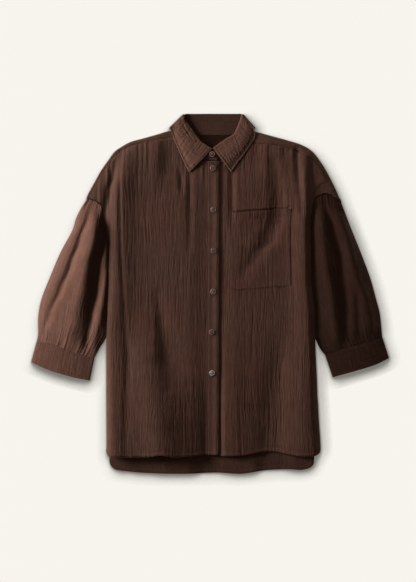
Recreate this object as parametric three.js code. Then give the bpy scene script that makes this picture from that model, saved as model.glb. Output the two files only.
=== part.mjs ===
// A collared cheesecloth shirt, buttoned up and laid flat on its back.
// Millimetres. +Z points up from the surface that it lies on, and +Y from the hem to the collar.
// The wearer's right front is on the -X side.
import * as THREE from 'three';

// Cloth sizes
const CLOTH = 1.2;          // one layer of crinkled cotton gauze
const BAND = 1.8;           // cuffs, collar stand and button band, which are made double
const SEAM_GAP = 0.35;      // clear space between two pieces that are sewn together
const SIDE_GAP = 1.5;       // from the rolled side of the body to the sleeve beside it
const ARMHOLE_GAP = 1.1;    // along the armhole seam, whose two sides curve between their points
const HIDDEN_INSET = 2.5;   // how far the lower layer keeps inside the edge of the upper one
const LYING = CLOTH / 2;    // height of the middle of a wall that lies on the surface
const LOWEST_TOP = CLOTH + SEAM_GAP + CLOTH / 2;   // lowest middle of a wall that lies on another
const PUFF = 3.2;           // how far the loose front stands off the back, away from its edges
const SLEEVE_ARCH = 12;     // how far a sleeve's upper layer stands off its lower one
const CUFF_ARCH = 6;

// Button band and buttons
const BAND_LEFT = -6.6;
const BAND_RIGHT = 18.1;
const BAND_TOP = 285;
const BAND_HEIGHT = 5.2;    // middle of the band's wall
const BUTTON = { radius: 5.7, thickness: 2.2, hole: 0.8, holeRing: 1.75 };
const BUTTONS = [
  { x: 4.5, y: 299.5 },
  { x: 6.0, y: 269.5 },
  { x: 7.0, y: 181.0 },
  { x: 7.5, y: 93.0 },
  { x: 6.5, y: 5.0 },
  { x: 3.5, y: -82.0 },
  { x: 4.5, y: -170.0 },
];

// Outlines. Each is read from the hem up or from the left to the right.
const RIGHT_SIDE = [
  { x: -223, y: -338 }, { x: -222, y: -327 }, { x: -222.5, y: -228 }, { x: -222.5, y: -99 },
  { x: -221, y: -40 }, { x: -217.5, y: 27 }, { x: -217.5, y: 105 }, { x: -228.5, y: 167 },
];
const LEFT_SIDE = [
  { x: 237, y: -334 }, { x: 232, y: -245 }, { x: 230, y: -215 }, { x: 225.5, y: -99 },
  { x: 225, y: -48 }, { x: 217, y: 27 }, { x: 215, y: 143 }, { x: 219, y: 190 },
];
const RIGHT_ARMHOLE = [
  { x: -228.5, y: 167 }, { x: -232.5, y: 186.5 }, { x: -241, y: 196 },
  { x: -254, y: 202 }, { x: -265, y: 203.5 },
];
const LEFT_ARMHOLE = [
  { x: 219, y: 190 }, { x: 229, y: 207 }, { x: 243, y: 213 }, { x: 259, y: 211.5 }, { x: 282, y: 196 },
];
const RIGHT_SHOULDER = [
  { x: -265, y: 204.2 }, { x: -263.5, y: 210 }, { x: -247.5, y: 240 }, { x: -233.5, y: 265 },
  { x: -216, y: 290 }, { x: -205, y: 305 }, { x: -192.5, y: 314 }, { x: -172, y: 325.5 },
  { x: -143.5, y: 333.5 }, { x: -112, y: 342.5 }, { x: -90, y: 349 }, { x: -76, y: 350.5 },
];
const LEFT_SHOULDER = [
  { x: 280.8, y: 197.6 }, { x: 264, y: 235.5 }, { x: 240.5, y: 278 }, { x: 218, y: 306.5 },
  { x: 195, y: 320 }, { x: 172, y: 327.5 }, { x: 134, y: 338 }, { x: 101, y: 347 }, { x: 87, y: 350 },
];
const BACK_NECK = [
  { x: -76, y: 350.5 }, { x: -58, y: 344.5 }, { x: 5, y: 342 }, { x: 68, y: 344.5 }, { x: 87, y: 350 },
];
// Front edge of the yoke, below the top of the shoulder
const RIGHT_YOKE_SEAM = [
  { x: -261.5, y: 205 }, { x: -244.5, y: 237 }, { x: -213, y: 286 }, { x: -189.5, y: 308 },
  { x: -150, y: 323 }, { x: -125, y: 329 }, { x: -90, y: 335 }, { x: -68, y: 337 },
];
const LEFT_YOKE_SEAM = [
  { x: 278, y: 200.5 }, { x: 260, y: 233 }, { x: 235, y: 273 }, { x: 206, y: 296 },
  { x: 182.5, y: 307 }, { x: 152, y: 317.5 }, { x: 128, y: 321 }, { x: 98, y: 323 }, { x: 78, y: 326 },
];
const RIGHT_NECK = [
  { x: -68, y: 337 }, { x: -58, y: 322 }, { x: -46, y: 305 }, { x: -30, y: 292 }, { x: -7, y: 285 },
];
const LEFT_NECK = [
  { x: 78, y: 326 }, { x: 66, y: 312 }, { x: 52, y: 299 }, { x: 38, y: 290 }, { x: 18.5, y: 284 },
];
const RIGHT_HEM = [
  { x: -223, y: -338 }, { x: -217.5, y: -348 }, { x: -206, y: -350.5 }, { x: -172, y: -351.5 },
  { x: -128, y: -349 }, { x: -104, y: -345.5 }, { x: -80, y: -350 }, { x: -35.5, y: -348 },
  { x: -7, y: -345.5 },
];
const LEFT_HEM = [
  { x: 237, y: -334 }, { x: 235, y: -341 }, { x: 222, y: -348 }, { x: 197.5, y: -348.5 },
  { x: 170, y: -344.5 },
  { x: 136, y: -338.5 }, { x: 105, y: -341 }, { x: 67.5, y: -347 }, { x: 18.5, y: -348 },
];
const BACK_HEM = [
  { x: -216, y: -352 }, { x: -215, y: -365 }, { x: -206, y: -376 }, { x: -172, y: -382 },
  { x: -121, y: -385.5 },
  { x: -52, y: -386.5 }, { x: 16, y: -384 }, { x: 67, y: -386.5 }, { x: 119, y: -379 },
  { x: 170, y: -377 },
  { x: 198, y: -378 }, { x: 215, y: -373 }, { x: 222.5, y: -365 }, { x: 222, y: -348 },
];
const BACK_YOKE_SEAM_Y = 196;

// Sleeves: outer and inner edges from the armhole down, then the cuff's seam and its hem
const RIGHT_SLEEVE = {
  outer: [
    { x: -265, y: 203.5 }, { x: -276, y: 186 }, { x: -287, y: 164 }, { x: -294, y: 140.5 },
    { x: -320.5, y: 90 },
    { x: -343.5, y: 36 }, { x: -362.5, y: -14 }, { x: -368.5, y: -48.5 }, { x: -369, y: -87 },
    { x: -372, y: -102 },
  ],
  freeInner: [{ x: -226.5, y: -100 }, { x: -236, y: -114 }, { x: -249, y: -138 }],
  cuffSeam: [{ x: -372, y: -102 }, { x: -340, y: -108 }, { x: -293.5, y: -125 }, { x: -249, y: -138 }],
  cuffHem: [{ x: -383.8, y: -146 }, { x: -351, y: -161.5 }, { x: -293.5, y: -179 }, { x: -259, y: -186 }],
};
const LEFT_SLEEVE = {
  outer: [
    { x: 282, y: 196 }, { x: 302, y: 143.5 }, { x: 325, y: 85.5 }, { x: 344.5, y: 32 },
    { x: 356, y: -10 },
    { x: 364, y: -41 }, { x: 368.5, y: -83 }, { x: 369.5, y: -93 },
  ],
  freeInner: [{ x: 229.5, y: -104 }, { x: 237, y: -118 }, { x: 248, y: -132 }],
  cuffSeam: [{ x: 369.5, y: -93 }, { x: 344.5, y: -102 }, { x: 298.5, y: -114 }, { x: 248, y: -132 }],
  cuffHem: [{ x: 383.8, y: -138 }, { x: 357, y: -151 }, { x: 325, y: -161.5 }, { x: 264, y: -179 }],
};

// Collar. The band at the neck and the fall above it both turn over along a slanting fold on each side.
const FALL_BEND = 3.165;    // radius of the fall where it turns over
const STAND_BEND = 1.165;   // radius of the band inside it
const RIGHT_TURN = { inner: { x: -58, y: 386 }, outer: { x: -88, y: 356.5 } };
const LEFT_TURN = { inner: { x: 71, y: 386 }, outer: { x: 97.4, y: 356.5 } };
const STAND_BACK = BAND / 2 + CLOTH + SEAM_GAP;
const STAND_FRONT = STAND_BACK + 2 * STAND_BEND;
const FALL_FRONT = LYING + 2 * FALL_BEND;
const COLLAR_LIFT = 1.9;    // middle of a collar leaf above the middle of the front under its edge
// Rows from the slanting fold to the centre front: the roll line, the seam to the band, the outer edge,
// the band's upper and lower edges, and the height of the band
const RIGHT_LEAF = [
  { rollX: -53, rollY: 373, seamX: -59.5, seamY: 363, edgeX: -80, edgeY: 338,
    topX: -60, topY: 362, footX: -73, footY: 347, z: 4.78 },
  { rollX: -40, rollY: 355, seamX: -46.5, seamY: 347, edgeX: -70.5, edgeY: 315,
    topX: -47, topY: 346, footX: -60, footY: 328.5, z: 4.78 },
  { rollX: -30.5, rollY: 341, seamX: -34, seamY: 332, edgeX: -61, edgeY: 293,
    topX: -34.5, topY: 331, footX: -48, footY: 313, z: 4.78 },
  { rollX: -19, rollY: 326.5, seamX: -21, seamY: 320, edgeX: -53, edgeY: 277,
    topX: -21.5, topY: 319, footX: -36, footY: 300, z: 4.78 },
  { rollX: -8, rollY: 319, seamX: -7.5, seamY: 311.5, edgeX: -47, edgeY: 265,
    topX: -8, topY: 310.5, footX: -18, footY: 291, z: 4.78 },
  { rollX: 4.5, rollY: 311.5, seamX: 4.5, seamY: 308.4, edgeX: -44.3, edgeY: 261,
    topX: 4, topY: 307.4, footX: 2, footY: 287.5, z: 4.78 },
];
const RIGHT_STAND_END = [
  { topX: 13, topY: 306, footX: 13, footY: 287.5, z: 4.78 },
  { topX: 17, topY: 301, footX: 17, footY: 292, z: 4.78 },
];
const LEFT_LEAF = [
  { rollX: 63.6, rollY: 369.6, seamX: 71, seamY: 362, edgeX: 97, edgeY: 336,
    topX: 71.7, topY: 361, footX: 85.5, footY: 344.5, z: 4.78 },
  { rollX: 57, rollY: 353, seamX: 62, seamY: 345, edgeX: 85, edgeY: 315,
    topX: 62.6, topY: 344, footX: 76, footY: 326, z: 4.78 },
  { rollX: 50.5, rollY: 342.5, seamX: 53, seamY: 335, edgeX: 71, edgeY: 296,
    topX: 53.4, topY: 334, footX: 64, footY: 312.5, z: 4.78 },
  { rollX: 34, rollY: 331.7, seamX: 37, seamY: 324, edgeX: 59, edgeY: 280,
    topX: 37.4, topY: 323, footX: 48.6, footY: 301, z: 4.5 },
  { rollX: 18, rollY: 321, seamX: 21, seamY: 313, edgeX: 50, edgeY: 267,
    topX: 23, topY: 311, footX: 33, footY: 291.5, z: 3 },
  { rollX: 6, rollY: 311.5, seamX: 6, seamY: 308.4, edgeX: 46.2, edgeY: 261,
    topX: 12, topY: 306, footX: 14, footY: 287.5, z: 2.45 },
];
const LEFT_STAND_END = [
  { topX: 0, topY: 305, footX: 0, footY: 287.5, z: 2.45 },
  { topX: -5, topY: 301, footX: -5, footY: 292, z: 2.45 },
];

// Folds. Each row is one place along a fold: its middle, its height (below 0 for a trough) and how far
// it spreads to each side.
const FRONT_FOLDS = {
  rightSideRidge: [
    { y: -345, x: -204, height: 6, left: 16, right: 36 },
    { y: -230, x: -206, height: 5, left: 16, right: 34 },
    { y: -99, x: -204, height: 3, left: 16, right: 24 },
    { y: 27, x: -200, height: 5, left: 16, right: 34 },
    { y: 105, x: -200, height: 5.5, left: 16, right: 36 },
    { y: 184, x: -198, height: 5.5, left: 12, right: 30 },
    { y: 255, x: -192, height: 5, left: 10, right: 26 },
    { y: 300, x: -186, height: 3, left: 8, right: 18 },
  ],
  rightShoulderTrough: [
    { y: 165, x: -226, height: -3, left: 7, right: 7 },
    { y: 225, x: -217, height: -5, left: 7, right: 7 },
    { y: 253, x: -208, height: -4.5, left: 7, right: 7 },
    { y: 280, x: -203, height: -2.5, left: 7, right: 7 },
  ],
  rightLongGroove: [
    { y: 305, x: -190, height: -2.5, left: 5, right: 4 },
    { y: 250, x: -194, height: -2, left: 5, right: 4 },
    { y: 120, x: -192, height: -1.2, left: 5, right: 4 },
    { y: -60, x: -183, height: -1, left: 6, right: 6 },
    { y: -142, x: -176, height: -2, left: 9, right: 9 },
    { y: -200, x: -178, height: -1.5, left: 9, right: 9 },
    { y: -345, x: -180, height: -1, left: 9, right: 9 },
  ],
  rightHemBillow: [
    { y: -50, x: -140, height: 1, left: 24, right: 34 },
    { y: -142, x: -138, height: 3.5, left: 28, right: 32 },
    { y: -207, x: -127, height: 4.5, left: 32, right: 38 },
    { y: -271, x: -117, height: 5, left: 32, right: 40 },
    { y: -345, x: -104, height: 5, left: 34, right: 40 },
  ],
  rightHemSwell: [
    { y: -100, x: -130, height: 1, left: 60, right: 50 },
    { y: -142, x: -128, height: 3.5, left: 66, right: 60 },
    { y: -207, x: -117, height: 7, left: 80, right: 74 },
    { y: -271, x: -110, height: 9, left: 90, right: 80 },
    { y: -345, x: -104, height: 9, left: 90, right: 80 },
  ],
  rightMiddleTrough: [
    { y: 0, x: -112, height: -1.5, left: 12, right: 14 },
    { y: -60, x: -104, height: -3, left: 12, right: 18 },
    { y: -130, x: -96, height: -4, left: 14, right: 34 },
    { y: -200, x: -84, height: -2, left: 20, right: 40 },
  ],
  collarCreaseOuter: [
    { y: 275, x: -66, height: -2, left: 6, right: 6 },
    { y: 250, x: -63, height: -3, left: 6, right: 6 },
    { y: 222, x: -60, height: -1, left: 6, right: 6 },
  ],
  collarCreaseInner: [
    { y: 262, x: -44, height: -2.5, left: 6, right: 6 },
    { y: 190, x: -43, height: -2, left: 7, right: 7 },
    { y: 100, x: -44, height: -1, left: 7, right: 7 },
  ],
  pocketCrease: [
    { y: 262, x: 46, height: -3, left: 6, right: 7 },
    { y: 190, x: 47, height: -2.5, left: 6, right: 7 },
    { y: 140, x: 47, height: -0.5, left: 6, right: 7 },
  ],
  chestTrough: [
    { y: 285, x: 139, height: -2, left: 13, right: 13 },
    { y: 201, x: 147, height: -4.5, left: 16, right: 13 },
    { y: 160, x: 144, height: -4.5, left: 18, right: 14 },
    { y: 116, x: 128, height: -4.5, left: 18, right: 16 },
    { y: 86, x: 104, height: -2.5, left: 18, right: 16 },
    { y: 34, x: 66, height: -1, left: 16, right: 14 },
  ],
  leftShoulderTrough: [
    { y: 304, x: 187, height: -3, left: 7, right: 7 },
    { y: 245, x: 191, height: -3.5, left: 7, right: 7 },
    { y: 180, x: 196, height: -2, left: 7, right: 7 },
  ],
  leftSideRidge: [
    { y: 290, x: 204, height: 3.5, left: 16, right: 9 },
    { y: 215, x: 204, height: 6.5, left: 20, right: 9 },
    { y: 143, x: 202, height: 7.5, left: 24, right: 11 },
    { y: 27, x: 203, height: 7.5, left: 26, right: 11 },
    { y: -48, x: 209, height: 7, left: 28, right: 12 },
    { y: -228, x: 214, height: 6, left: 30, right: 13 },
    { y: -345, x: 220, height: 5, left: 30, right: 13 },
  ],
  leftHemBillow: [
    { y: -60, x: 34, height: 0.5, left: 12, right: 40 },
    { y: -150, x: 34, height: 2, left: 12, right: 40 },
    { y: -220, x: 34, height: 3.2, left: 12, right: 42 },
    { y: -345, x: 34, height: 3.4, left: 12, right: 44 },
  ],
  leftHemTrough: [
    { y: -100, x: 148, height: -1.5, left: 20, right: 16 },
    { y: -142, x: 148, height: -3, left: 24, right: 18 },
    { y: -196, x: 142, height: -4.5, left: 26, right: 22 },
    { y: -260, x: 136, height: -5, left: 28, right: 26 },
    { y: -345, x: 132, height: -5, left: 28, right: 28 },
  ],
  leftHemRoll: [
    { y: -80, x: 188, height: 0.5, left: 30, right: 24 },
    { y: -220, x: 190, height: 2.5, left: 36, right: 26 },
    { y: -345, x: 190, height: 3.5, left: 38, right: 28 },
  ],
};
const SLEEVE_FOLDS = {
  rightGroove: [
    { y: 200, x: -252, height: -3, left: 6, right: 7 },
    { y: 169, x: -259, height: -4, left: 7, right: 7 },
    { y: 116, x: -278.5, height: -5, left: 8, right: 8 },
    { y: 62, x: -298, height: -4.5, left: 8, right: 8 },
    { y: 8, x: -320, height: -4, left: 8, right: 8 },
    { y: -41, x: -343, height: -2.5, left: 8, right: 8 },
    { y: -95, x: -362, height: -1.5, left: 7, right: 7 },
  ],
  rightRidge: [
    { y: 185, x: -239, height: 3.5, left: 12, right: 10 },
    { y: 116, x: -251, height: 5, left: 15, right: 14 },
    { y: 62, x: -266, height: 5.5, left: 17, right: 15 },
    { y: 8, x: -274, height: 5.5, left: 20, right: 16 },
    { y: -46, x: -288, height: 4, left: 20, right: 16 },
    { y: -110, x: -302, height: 2, left: 18, right: 16 },
  ],
  rightTrough: [
    { y: 175, x: -222, height: -2.5, left: 8, right: 5 },
    { y: 116, x: -228, height: -4, left: 12, right: 6 },
    { y: 62, x: -238, height: -5, left: 14, right: 8 },
    { y: 8, x: -244, height: -5.5, left: 13, right: 9 },
    { y: -46, x: -254, height: -5, left: 11, right: 9 },
    { y: -100, x: -264, height: -3.5, left: 10, right: 9 },
    { y: -125, x: -268, height: -2, left: 10, right: 9 },
  ],
  rightInnerRidge: [
    { y: 40, x: -222, height: 2, left: 6, right: 6 },
    { y: -20, x: -229, height: 2.5, left: 8, right: 7 },
    { y: -46, x: -235, height: 2.5, left: 9, right: 8 },
    { y: -112, x: -249, height: 1, left: 9, right: 7 },
  ],
  leftRidge: [
    { y: 180, x: 236, height: 3, left: 9, right: 9 },
    { y: 79, x: 245, height: 5, left: 12, right: 12 },
    { y: -28, x: 262, height: 5, left: 13, right: 12 },
    { y: -110, x: 274, height: 3, left: 12, right: 12 },
  ],
  leftTrough: [
    { y: 205, x: 243, height: -3, left: 8, right: 8 },
    { y: 141, x: 264, height: -5, left: 10, right: 10 },
    { y: 79, x: 281, height: -6, left: 12, right: 11 },
    { y: -28, x: 290, height: -6.5, left: 13, right: 14 },
    { y: -100, x: 292, height: -4, left: 12, right: 12 },
  ],
  leftOuterRidge: [
    { y: 180, x: 276, height: 4, left: 10, right: 10 },
    { y: 98, x: 299, height: 5.5, left: 12, right: 11 },
    { y: 40, x: 314, height: 5.5, left: 13, right: 11 },
    { y: -13, x: 334, height: 5, left: 13, right: 11 },
    { y: -67, x: 343, height: 4, left: 13, right: 11 },
    { y: -100, x: 346, height: 2, left: 13, right: 11 },
  ],
  leftInnerGroove: [
    { y: -10, x: 316, height: -2, left: 8, right: 7 },
    { y: -60, x: 318, height: -3, left: 10, right: 8 },
    { y: -105, x: 322, height: -1.5, left: 8, right: 8 },
  ],
};

const clamp = (value, low, high) => Math.min(high, Math.max(low, value));
const mix = (a, b, t) => a + (b - a) * t;
const ease = (t) => {
  const s = clamp(t, 0, 1);
  return s * s * (3 - 2 * s);
};
const steps = (count) => Array.from({ length: count + 1 }, (_, i) => i / count);

// A smooth curve through the rows of an outline, read by the share of its length.
function curveOf(rows) {
  const points = rows.map((row) => new THREE.Vector3(row.x, row.y, 0));
  const curve = new THREE.CatmullRomCurve3(points, false, 'centripetal');
  curve.arcLengthDivisions = 400;
  return (t) => curve.getPointAt(clamp(t, 0, 1));
}

// One column of a table, read at a height y between its rows.
function readAt(rows, y, column) {
  const rising = rows[0].y < rows[rows.length - 1].y;
  const list = rising ? rows : [...rows].reverse();
  if (y <= list[0].y) return list[0][column];
  if (y >= list[list.length - 1].y) return list[list.length - 1][column];
  const k = list.findIndex((row) => row.y >= y);
  return mix(list[k - 1][column], list[k][column], ease((y - list[k - 1].y) / (list[k].y - list[k - 1].y)) * 0.5
    + (y - list[k - 1].y) / (list[k].y - list[k - 1].y) * 0.5);
}

function foldSum(folds, x, y) {
  let sum = 0;
  for (const rows of Object.values(folds)) {
    const ends = [rows[0].y, rows[rows.length - 1].y];
    const low = Math.min(...ends);
    const high = Math.max(...ends);
    const fade = ease((y - low + 18) / 18) * ease((high + 18 - y) / 18);
    if (fade === 0) continue;
    const offset = x - readAt(rows, y, 'x');
    const spread = readAt(rows, y, offset < 0 ? 'left' : 'right');
    sum += fade * readAt(rows, y, 'height') * Math.exp(-((offset / spread) ** 2));
  }
  return sum;
}

// Keeps a height above a floor without a sharp corner where it meets it.
const above = (floor, height, softness = 0.7) => {
  return floor + softness * Math.log1p(Math.exp((height - floor) / softness));
};

function distanceTo(rows, x, y) {
  let best = Infinity;
  for (let i = 1; i < rows.length; i += 1) {
    const a = rows[i - 1];
    const b = rows[i];
    const square = (b.x - a.x) ** 2 + (b.y - a.y) ** 2;
    const along = clamp(((x - a.x) * (b.x - a.x) + (y - a.y) * (b.y - a.y)) / square, 0, 1);
    best = Math.min(best, Math.hypot(x - mix(a.x, b.x, along), y - mix(a.y, b.y, along)));
  }
  return best;
}

// Quarter-round rise from an edge.
const roll = (distance, width) => Math.sqrt(1 - (1 - clamp(distance / width, 0, 1)) ** 2);

// Height of the middle of the front's wall. It rolls down to the back at the shoulders, the sides and
// under the collar, and sits lowest at the button band.
function frontHeight(x, y) {
  const side = x < 0 ? RIGHT_SIDE : LEFT_SIDE;
  const top = side[side.length - 1].y;
  const shoulder = distanceTo(x < 0 ? RIGHT_SHOULDER : LEFT_SHOULDER, x, y);
  const sideEdge = Math.abs(readAt(side, Math.min(y, top), 'x')) - Math.abs(x);
  const sideRoll = mix(roll(Math.max(sideEdge, 0), 11), 1, ease((y - top + 25) / 40));
  const shoulderRoll = roll(shoulder, x < 0 ? 56 : 16);
  const band = ease((Math.abs(x - 6) - 12) / 40);
  const neck = 1 - ease((y - 235) / 45) * ease((125 - Math.abs(x - 5)) / 40);
  const puff = PUFF * mix(0.25, 1, band);
  const relief = (puff + foldSum(FRONT_FOLDS, x, y) * mix(0.3, 1, ease((Math.abs(x - 6) - 12) / 16))) * neck;
  return above(LOWEST_TOP, LOWEST_TOP + relief * sideRoll * shoulderRoll + 0.35) + 0.1;
}

// A wall of cloth with its middle on a grid of points. Rows run across and columns along. A wrapped
// grid closes on itself, as a sleeve does. A cell that is left out leaves a notch in the cloth.
function wallFrom(grid, thickness, { wrapped = false, has = () => true } = {}) {
  const rows = grid.length;
  const columns = grid[0].length;
  const cellColumns = wrapped ? columns : columns - 1;
  const next = (c) => (c + 1) % columns;
  const positions = [];
  const normal = new THREE.Vector3();
  const acrossStep = new THREE.Vector3();
  const alongStep = new THREE.Vector3();
  for (let r = 0; r < rows; r += 1) {
    for (let c = 0; c < columns; c += 1) {
      const before = wrapped ? grid[r][(c + columns - 1) % columns] : grid[r][Math.max(c - 1, 0)];
      const after = wrapped ? grid[r][next(c)] : grid[r][Math.min(c + 1, columns - 1)];
      acrossStep.subVectors(after, before);
      alongStep.subVectors(grid[Math.min(r + 1, rows - 1)][c], grid[Math.max(r - 1, 0)][c]);
      normal.crossVectors(acrossStep, alongStep).normalize().multiplyScalar(thickness / 2);
      const p = grid[r][c];
      positions.push(p.x + normal.x, p.y + normal.y, p.z + normal.z);
      positions.push(p.x - normal.x, p.y - normal.y, p.z - normal.z);
    }
  }
  const outer = (r, c) => 2 * (r * columns + c);
  const inner = (r, c) => outer(r, c) + 1;
  const present = (r, c) => r >= 0 && r < rows - 1 && (wrapped || (c >= 0 && c < cellColumns))
    && has(r, (c + cellColumns) % cellColumns);
  const faces = [];
  const quad = (a, b, c, d) => faces.push(a, b, c, a, c, d);
  for (let r = 0; r < rows - 1; r += 1) {
    for (let c = 0; c < cellColumns; c += 1) {
      if (!present(r, c)) continue;
      const n = next(c);
      quad(outer(r, c), outer(r, n), outer(r + 1, n), outer(r + 1, c));
      quad(inner(r, c), inner(r + 1, c), inner(r + 1, n), inner(r, n));
      if (!present(r - 1, c)) quad(outer(r, n), outer(r, c), inner(r, c), inner(r, n));
      if (!present(r + 1, c)) quad(outer(r + 1, c), outer(r + 1, n), inner(r + 1, n), inner(r + 1, c));
      if (!present(r, c - 1)) quad(outer(r, c), outer(r + 1, c), inner(r + 1, c), inner(r, c));
      if (!present(r, c + 1)) quad(outer(r + 1, n), outer(r, n), inner(r, n), inner(r + 1, n));
    }
  }
  return solidFrom(positions, faces);
}

// Drops unused points, and turns the faces out if they all face in.
function solidFrom(positions, faces) {
  const used = new Map();
  const kept = [];
  const index = faces.map((v) => {
    if (!used.has(v)) {
      used.set(v, used.size);
      kept.push(positions[3 * v], positions[3 * v + 1], positions[3 * v + 2]);
    }
    return used.get(v);
  });
  let volume = 0;
  const point = (i) => new THREE.Vector3(kept[3 * i], kept[3 * i + 1], kept[3 * i + 2]);
  for (let i = 0; i < index.length; i += 3) {
    volume += point(index[i]).dot(point(index[i + 1]).cross(point(index[i + 2])));
  }
  if (volume < 0) {
    for (let i = 0; i < index.length; i += 3) [index[i], index[i + 1]] = [index[i + 1], index[i]];
  }
  const geometry = new THREE.BufferGeometry();
  geometry.setAttribute('position', new THREE.Float32BufferAttribute(kept, 3));
  geometry.setIndex(index);
  geometry.computeVertexNormals();
  return geometry;
}

// A point beside a curve, to the left of its run.
function beside(curve, t, distance) {
  const a = curve(clamp(t - 0.01, 0, 1));
  const b = curve(clamp(t + 0.01, 0, 1));
  const length = Math.hypot(b.x - a.x, b.y - a.y);
  const p = curve(t);
  return new THREE.Vector3(p.x - (b.y - a.y) / length * distance, p.y + (b.x - a.x) / length * distance, 0);
}

// Plan of one front. Rows lie level up to the armhole, then fan out along it to the shoulder.
// v runs from 0 at the hem to 1 at the armhole's foot, and on to 2 at the top edge.
function frontPlan({ side, armhole, shoulderSeam, neck, hem, centre, tilt }) {
  const foot = side[side.length - 1].y;
  const armholeAt = curveOf(armhole);
  const topAt = curveOf([...shoulderSeam, ...neck.slice(1)]);
  const hemAt = curveOf(hem);
  const hemEnds = [hem[0], hem[hem.length - 1]];
  const topEnds = [armhole[armhole.length - 1], neck[neck.length - 1]];
  return (u, v) => {
    const lower = clamp(v, 0, 1);
    const upper = clamp(v - 1, 0, 1);
    const outerY = mix(side[0].y, foot, lower);
    const outer = upper > 0 ? armholeAt(upper) : { x: readAt(side, outerY, 'x'), y: outerY };
    const innerY = upper > 0 ? mix(foot - tilt, topEnds[1].y, upper) : mix(hemEnds[1].y, foot - tilt, lower);
    const hemShare = 1 - ease(lower / 0.2);
    const hemPoint = hemAt(u);
    const topPoint = topAt(u);
    return {
      x: mix(outer.x, centre, u) + hemShare * (hemPoint.x - mix(hemEnds[0].x, hemEnds[1].x, u))
        + upper * (topPoint.x - mix(topEnds[0].x, topEnds[1].x, u)),
      y: mix(outer.y, innerY, u) + hemShare * (hemPoint.y - mix(hemEnds[0].y, hemEnds[1].y, u))
        + upper * (topPoint.y - mix(topEnds[0].y, topEnds[1].y, u)),
    };
  };
}

const RIGHT_FRONT_PLAN = frontPlan({
  side: RIGHT_SIDE, armhole: RIGHT_ARMHOLE, shoulderSeam: RIGHT_YOKE_SEAM, neck: RIGHT_NECK, hem: RIGHT_HEM,
  centre: -7, tilt: 0,
});
const LEFT_FRONT_PLAN = frontPlan({
  side: LEFT_SIDE, armhole: LEFT_ARMHOLE, shoulderSeam: LEFT_YOKE_SEAM, neck: LEFT_NECK, hem: LEFT_HEM,
  centre: 18.5, tilt: 14,
});

// Where the fronts' grids have lines: close together at the rolled side, and at the pocket's edges
const ACROSS = [0, 0.006, 0.018, 0.036, 0.06, 0.09, 0.13, 0.178, 0.226, 0.29, 0.36, 0.43, 0.5, 0.57, 0.64, 0.71, 0.78,
  0.853, 0.92, 1];
const ALONG = [0, 0.012, 0.03, 0.065, 0.11, 0.17, 0.23, 0.29, 0.355, 0.42, 0.485, 0.55, 0.61, 0.677, 0.72, 0.775,
  0.83, 0.885, 0.935, 0.992, 1.04, 1.12, 1.22, 1.33, 1.44, 1.56, 1.68, 1.8, 1.9, 2];
const POCKET_COLUMNS = [ACROSS.indexOf(0.226), ACROSS.indexOf(0.853)];
const POCKET_ROWS = [ALONG.indexOf(0.677), ALONG.indexOf(0.992)];
const POCKET_LIFT = CLOTH + SEAM_GAP;

function frontGrid(plan) {
  return ALONG.map((v) => ACROSS.map((u) => {
    const p = plan(u, v);
    return new THREE.Vector3(p.x, p.y, frontHeight(p.x, p.y));
  }));
}

// The pocket is the front's own points, moved out.
function pocketGrid(front) {
  const normal = new THREE.Vector3();
  const grid = [];
  for (let r = POCKET_ROWS[0]; r <= POCKET_ROWS[1]; r += 1) {
    const row = [];
    for (let c = POCKET_COLUMNS[0]; c <= POCKET_COLUMNS[1]; c += 1) {
      const across = new THREE.Vector3().subVectors(front[r][c + 1], front[r][c - 1]);
      const along = new THREE.Vector3().subVectors(front[r + 1][c], front[r - 1][c]);
      normal.crossVectors(across, along).normalize();
      if (normal.z < 0) normal.negate();
      row.push(front[r][c].clone().addScaledVector(normal, POCKET_LIFT));
    }
    grid.push(row);
  }
  return grid;
}

// The back is flat on the surface, from its hem up to the yoke.
function backGrid() {
  const hemAt = curveOf(BACK_HEM);
  const top = BACK_YOKE_SEAM_Y - SEAM_GAP;
  const rightSide = [...RIGHT_SIDE, RIGHT_ARMHOLE[2]].map((row) => (
    { x: row.x + HIDDEN_INSET, y: Math.min(row.y, top) }
  ));
  const leftSide = [...LEFT_SIDE, LEFT_ARMHOLE[0]].map((row) => ({ x: row.x - HIDDEN_INSET, y: row.y }));
  leftSide[leftSide.length - 1].y = top;
  const ends = [BACK_HEM[0], BACK_HEM[BACK_HEM.length - 1]];
  const levels = [0, 0.01, 0.03, 0.07, 0.14, 0.28, 0.42, 0.56, 0.7, 0.84, 0.955, 1];
  const across = [
    0, 0.015, 0.035, 0.06, 0.1, 0.16, 0.24, 0.33, 0.42, 0.5, 0.58, 0.67, 0.76, 0.84, 0.9, 0.94, 0.965, 0.985, 1,
  ];
  return levels.map((v) => across.map((u) => {
    const a = { x: readAt(rightSide, mix(ends[0].y, top, v), 'x'), y: mix(ends[0].y, top, v) };
    const b = { x: readAt(leftSide, mix(ends[1].y, top, v), 'x'), y: mix(ends[1].y, top, v) };
    const share = 1 - ease(v / 0.25);
    const p = hemAt(u);
    return new THREE.Vector3(
      mix(a.x, b.x, u) + share * (p.x - mix(a.x, b.x, u)) * ease(1 - v / 0.05),
      mix(a.y, b.y, u) + share * (p.y - mix(ends[0].y, ends[1].y, u)),
      LYING,
    );
  }));
}

// Columns of the yoke over one shoulder. Their front ends are the points of the front's top edge.
function shoulderColumns(shoulder, yokeSeam, neck) {
  const topAt = curveOf([...yokeSeam, ...neck.slice(1)]);
  const neckStart = new THREE.Vector3(neck[0].x, neck[0].y, 0);
  const closer = (t, best) => topAt(t).distanceTo(neckStart) < topAt(best).distanceTo(neckStart);
  const corner = steps(1000).reduce((best, t) => (closer(t, best) ? t : best), 0);
  const shoulderAt = curveOf(shoulder);
  const shares = [...ACROSS.filter((u) => u < corner - 0.01), corner];
  return shares.map((u) => ({ edge: shoulderAt(u / corner), seam: topAt(u) }));
}

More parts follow.
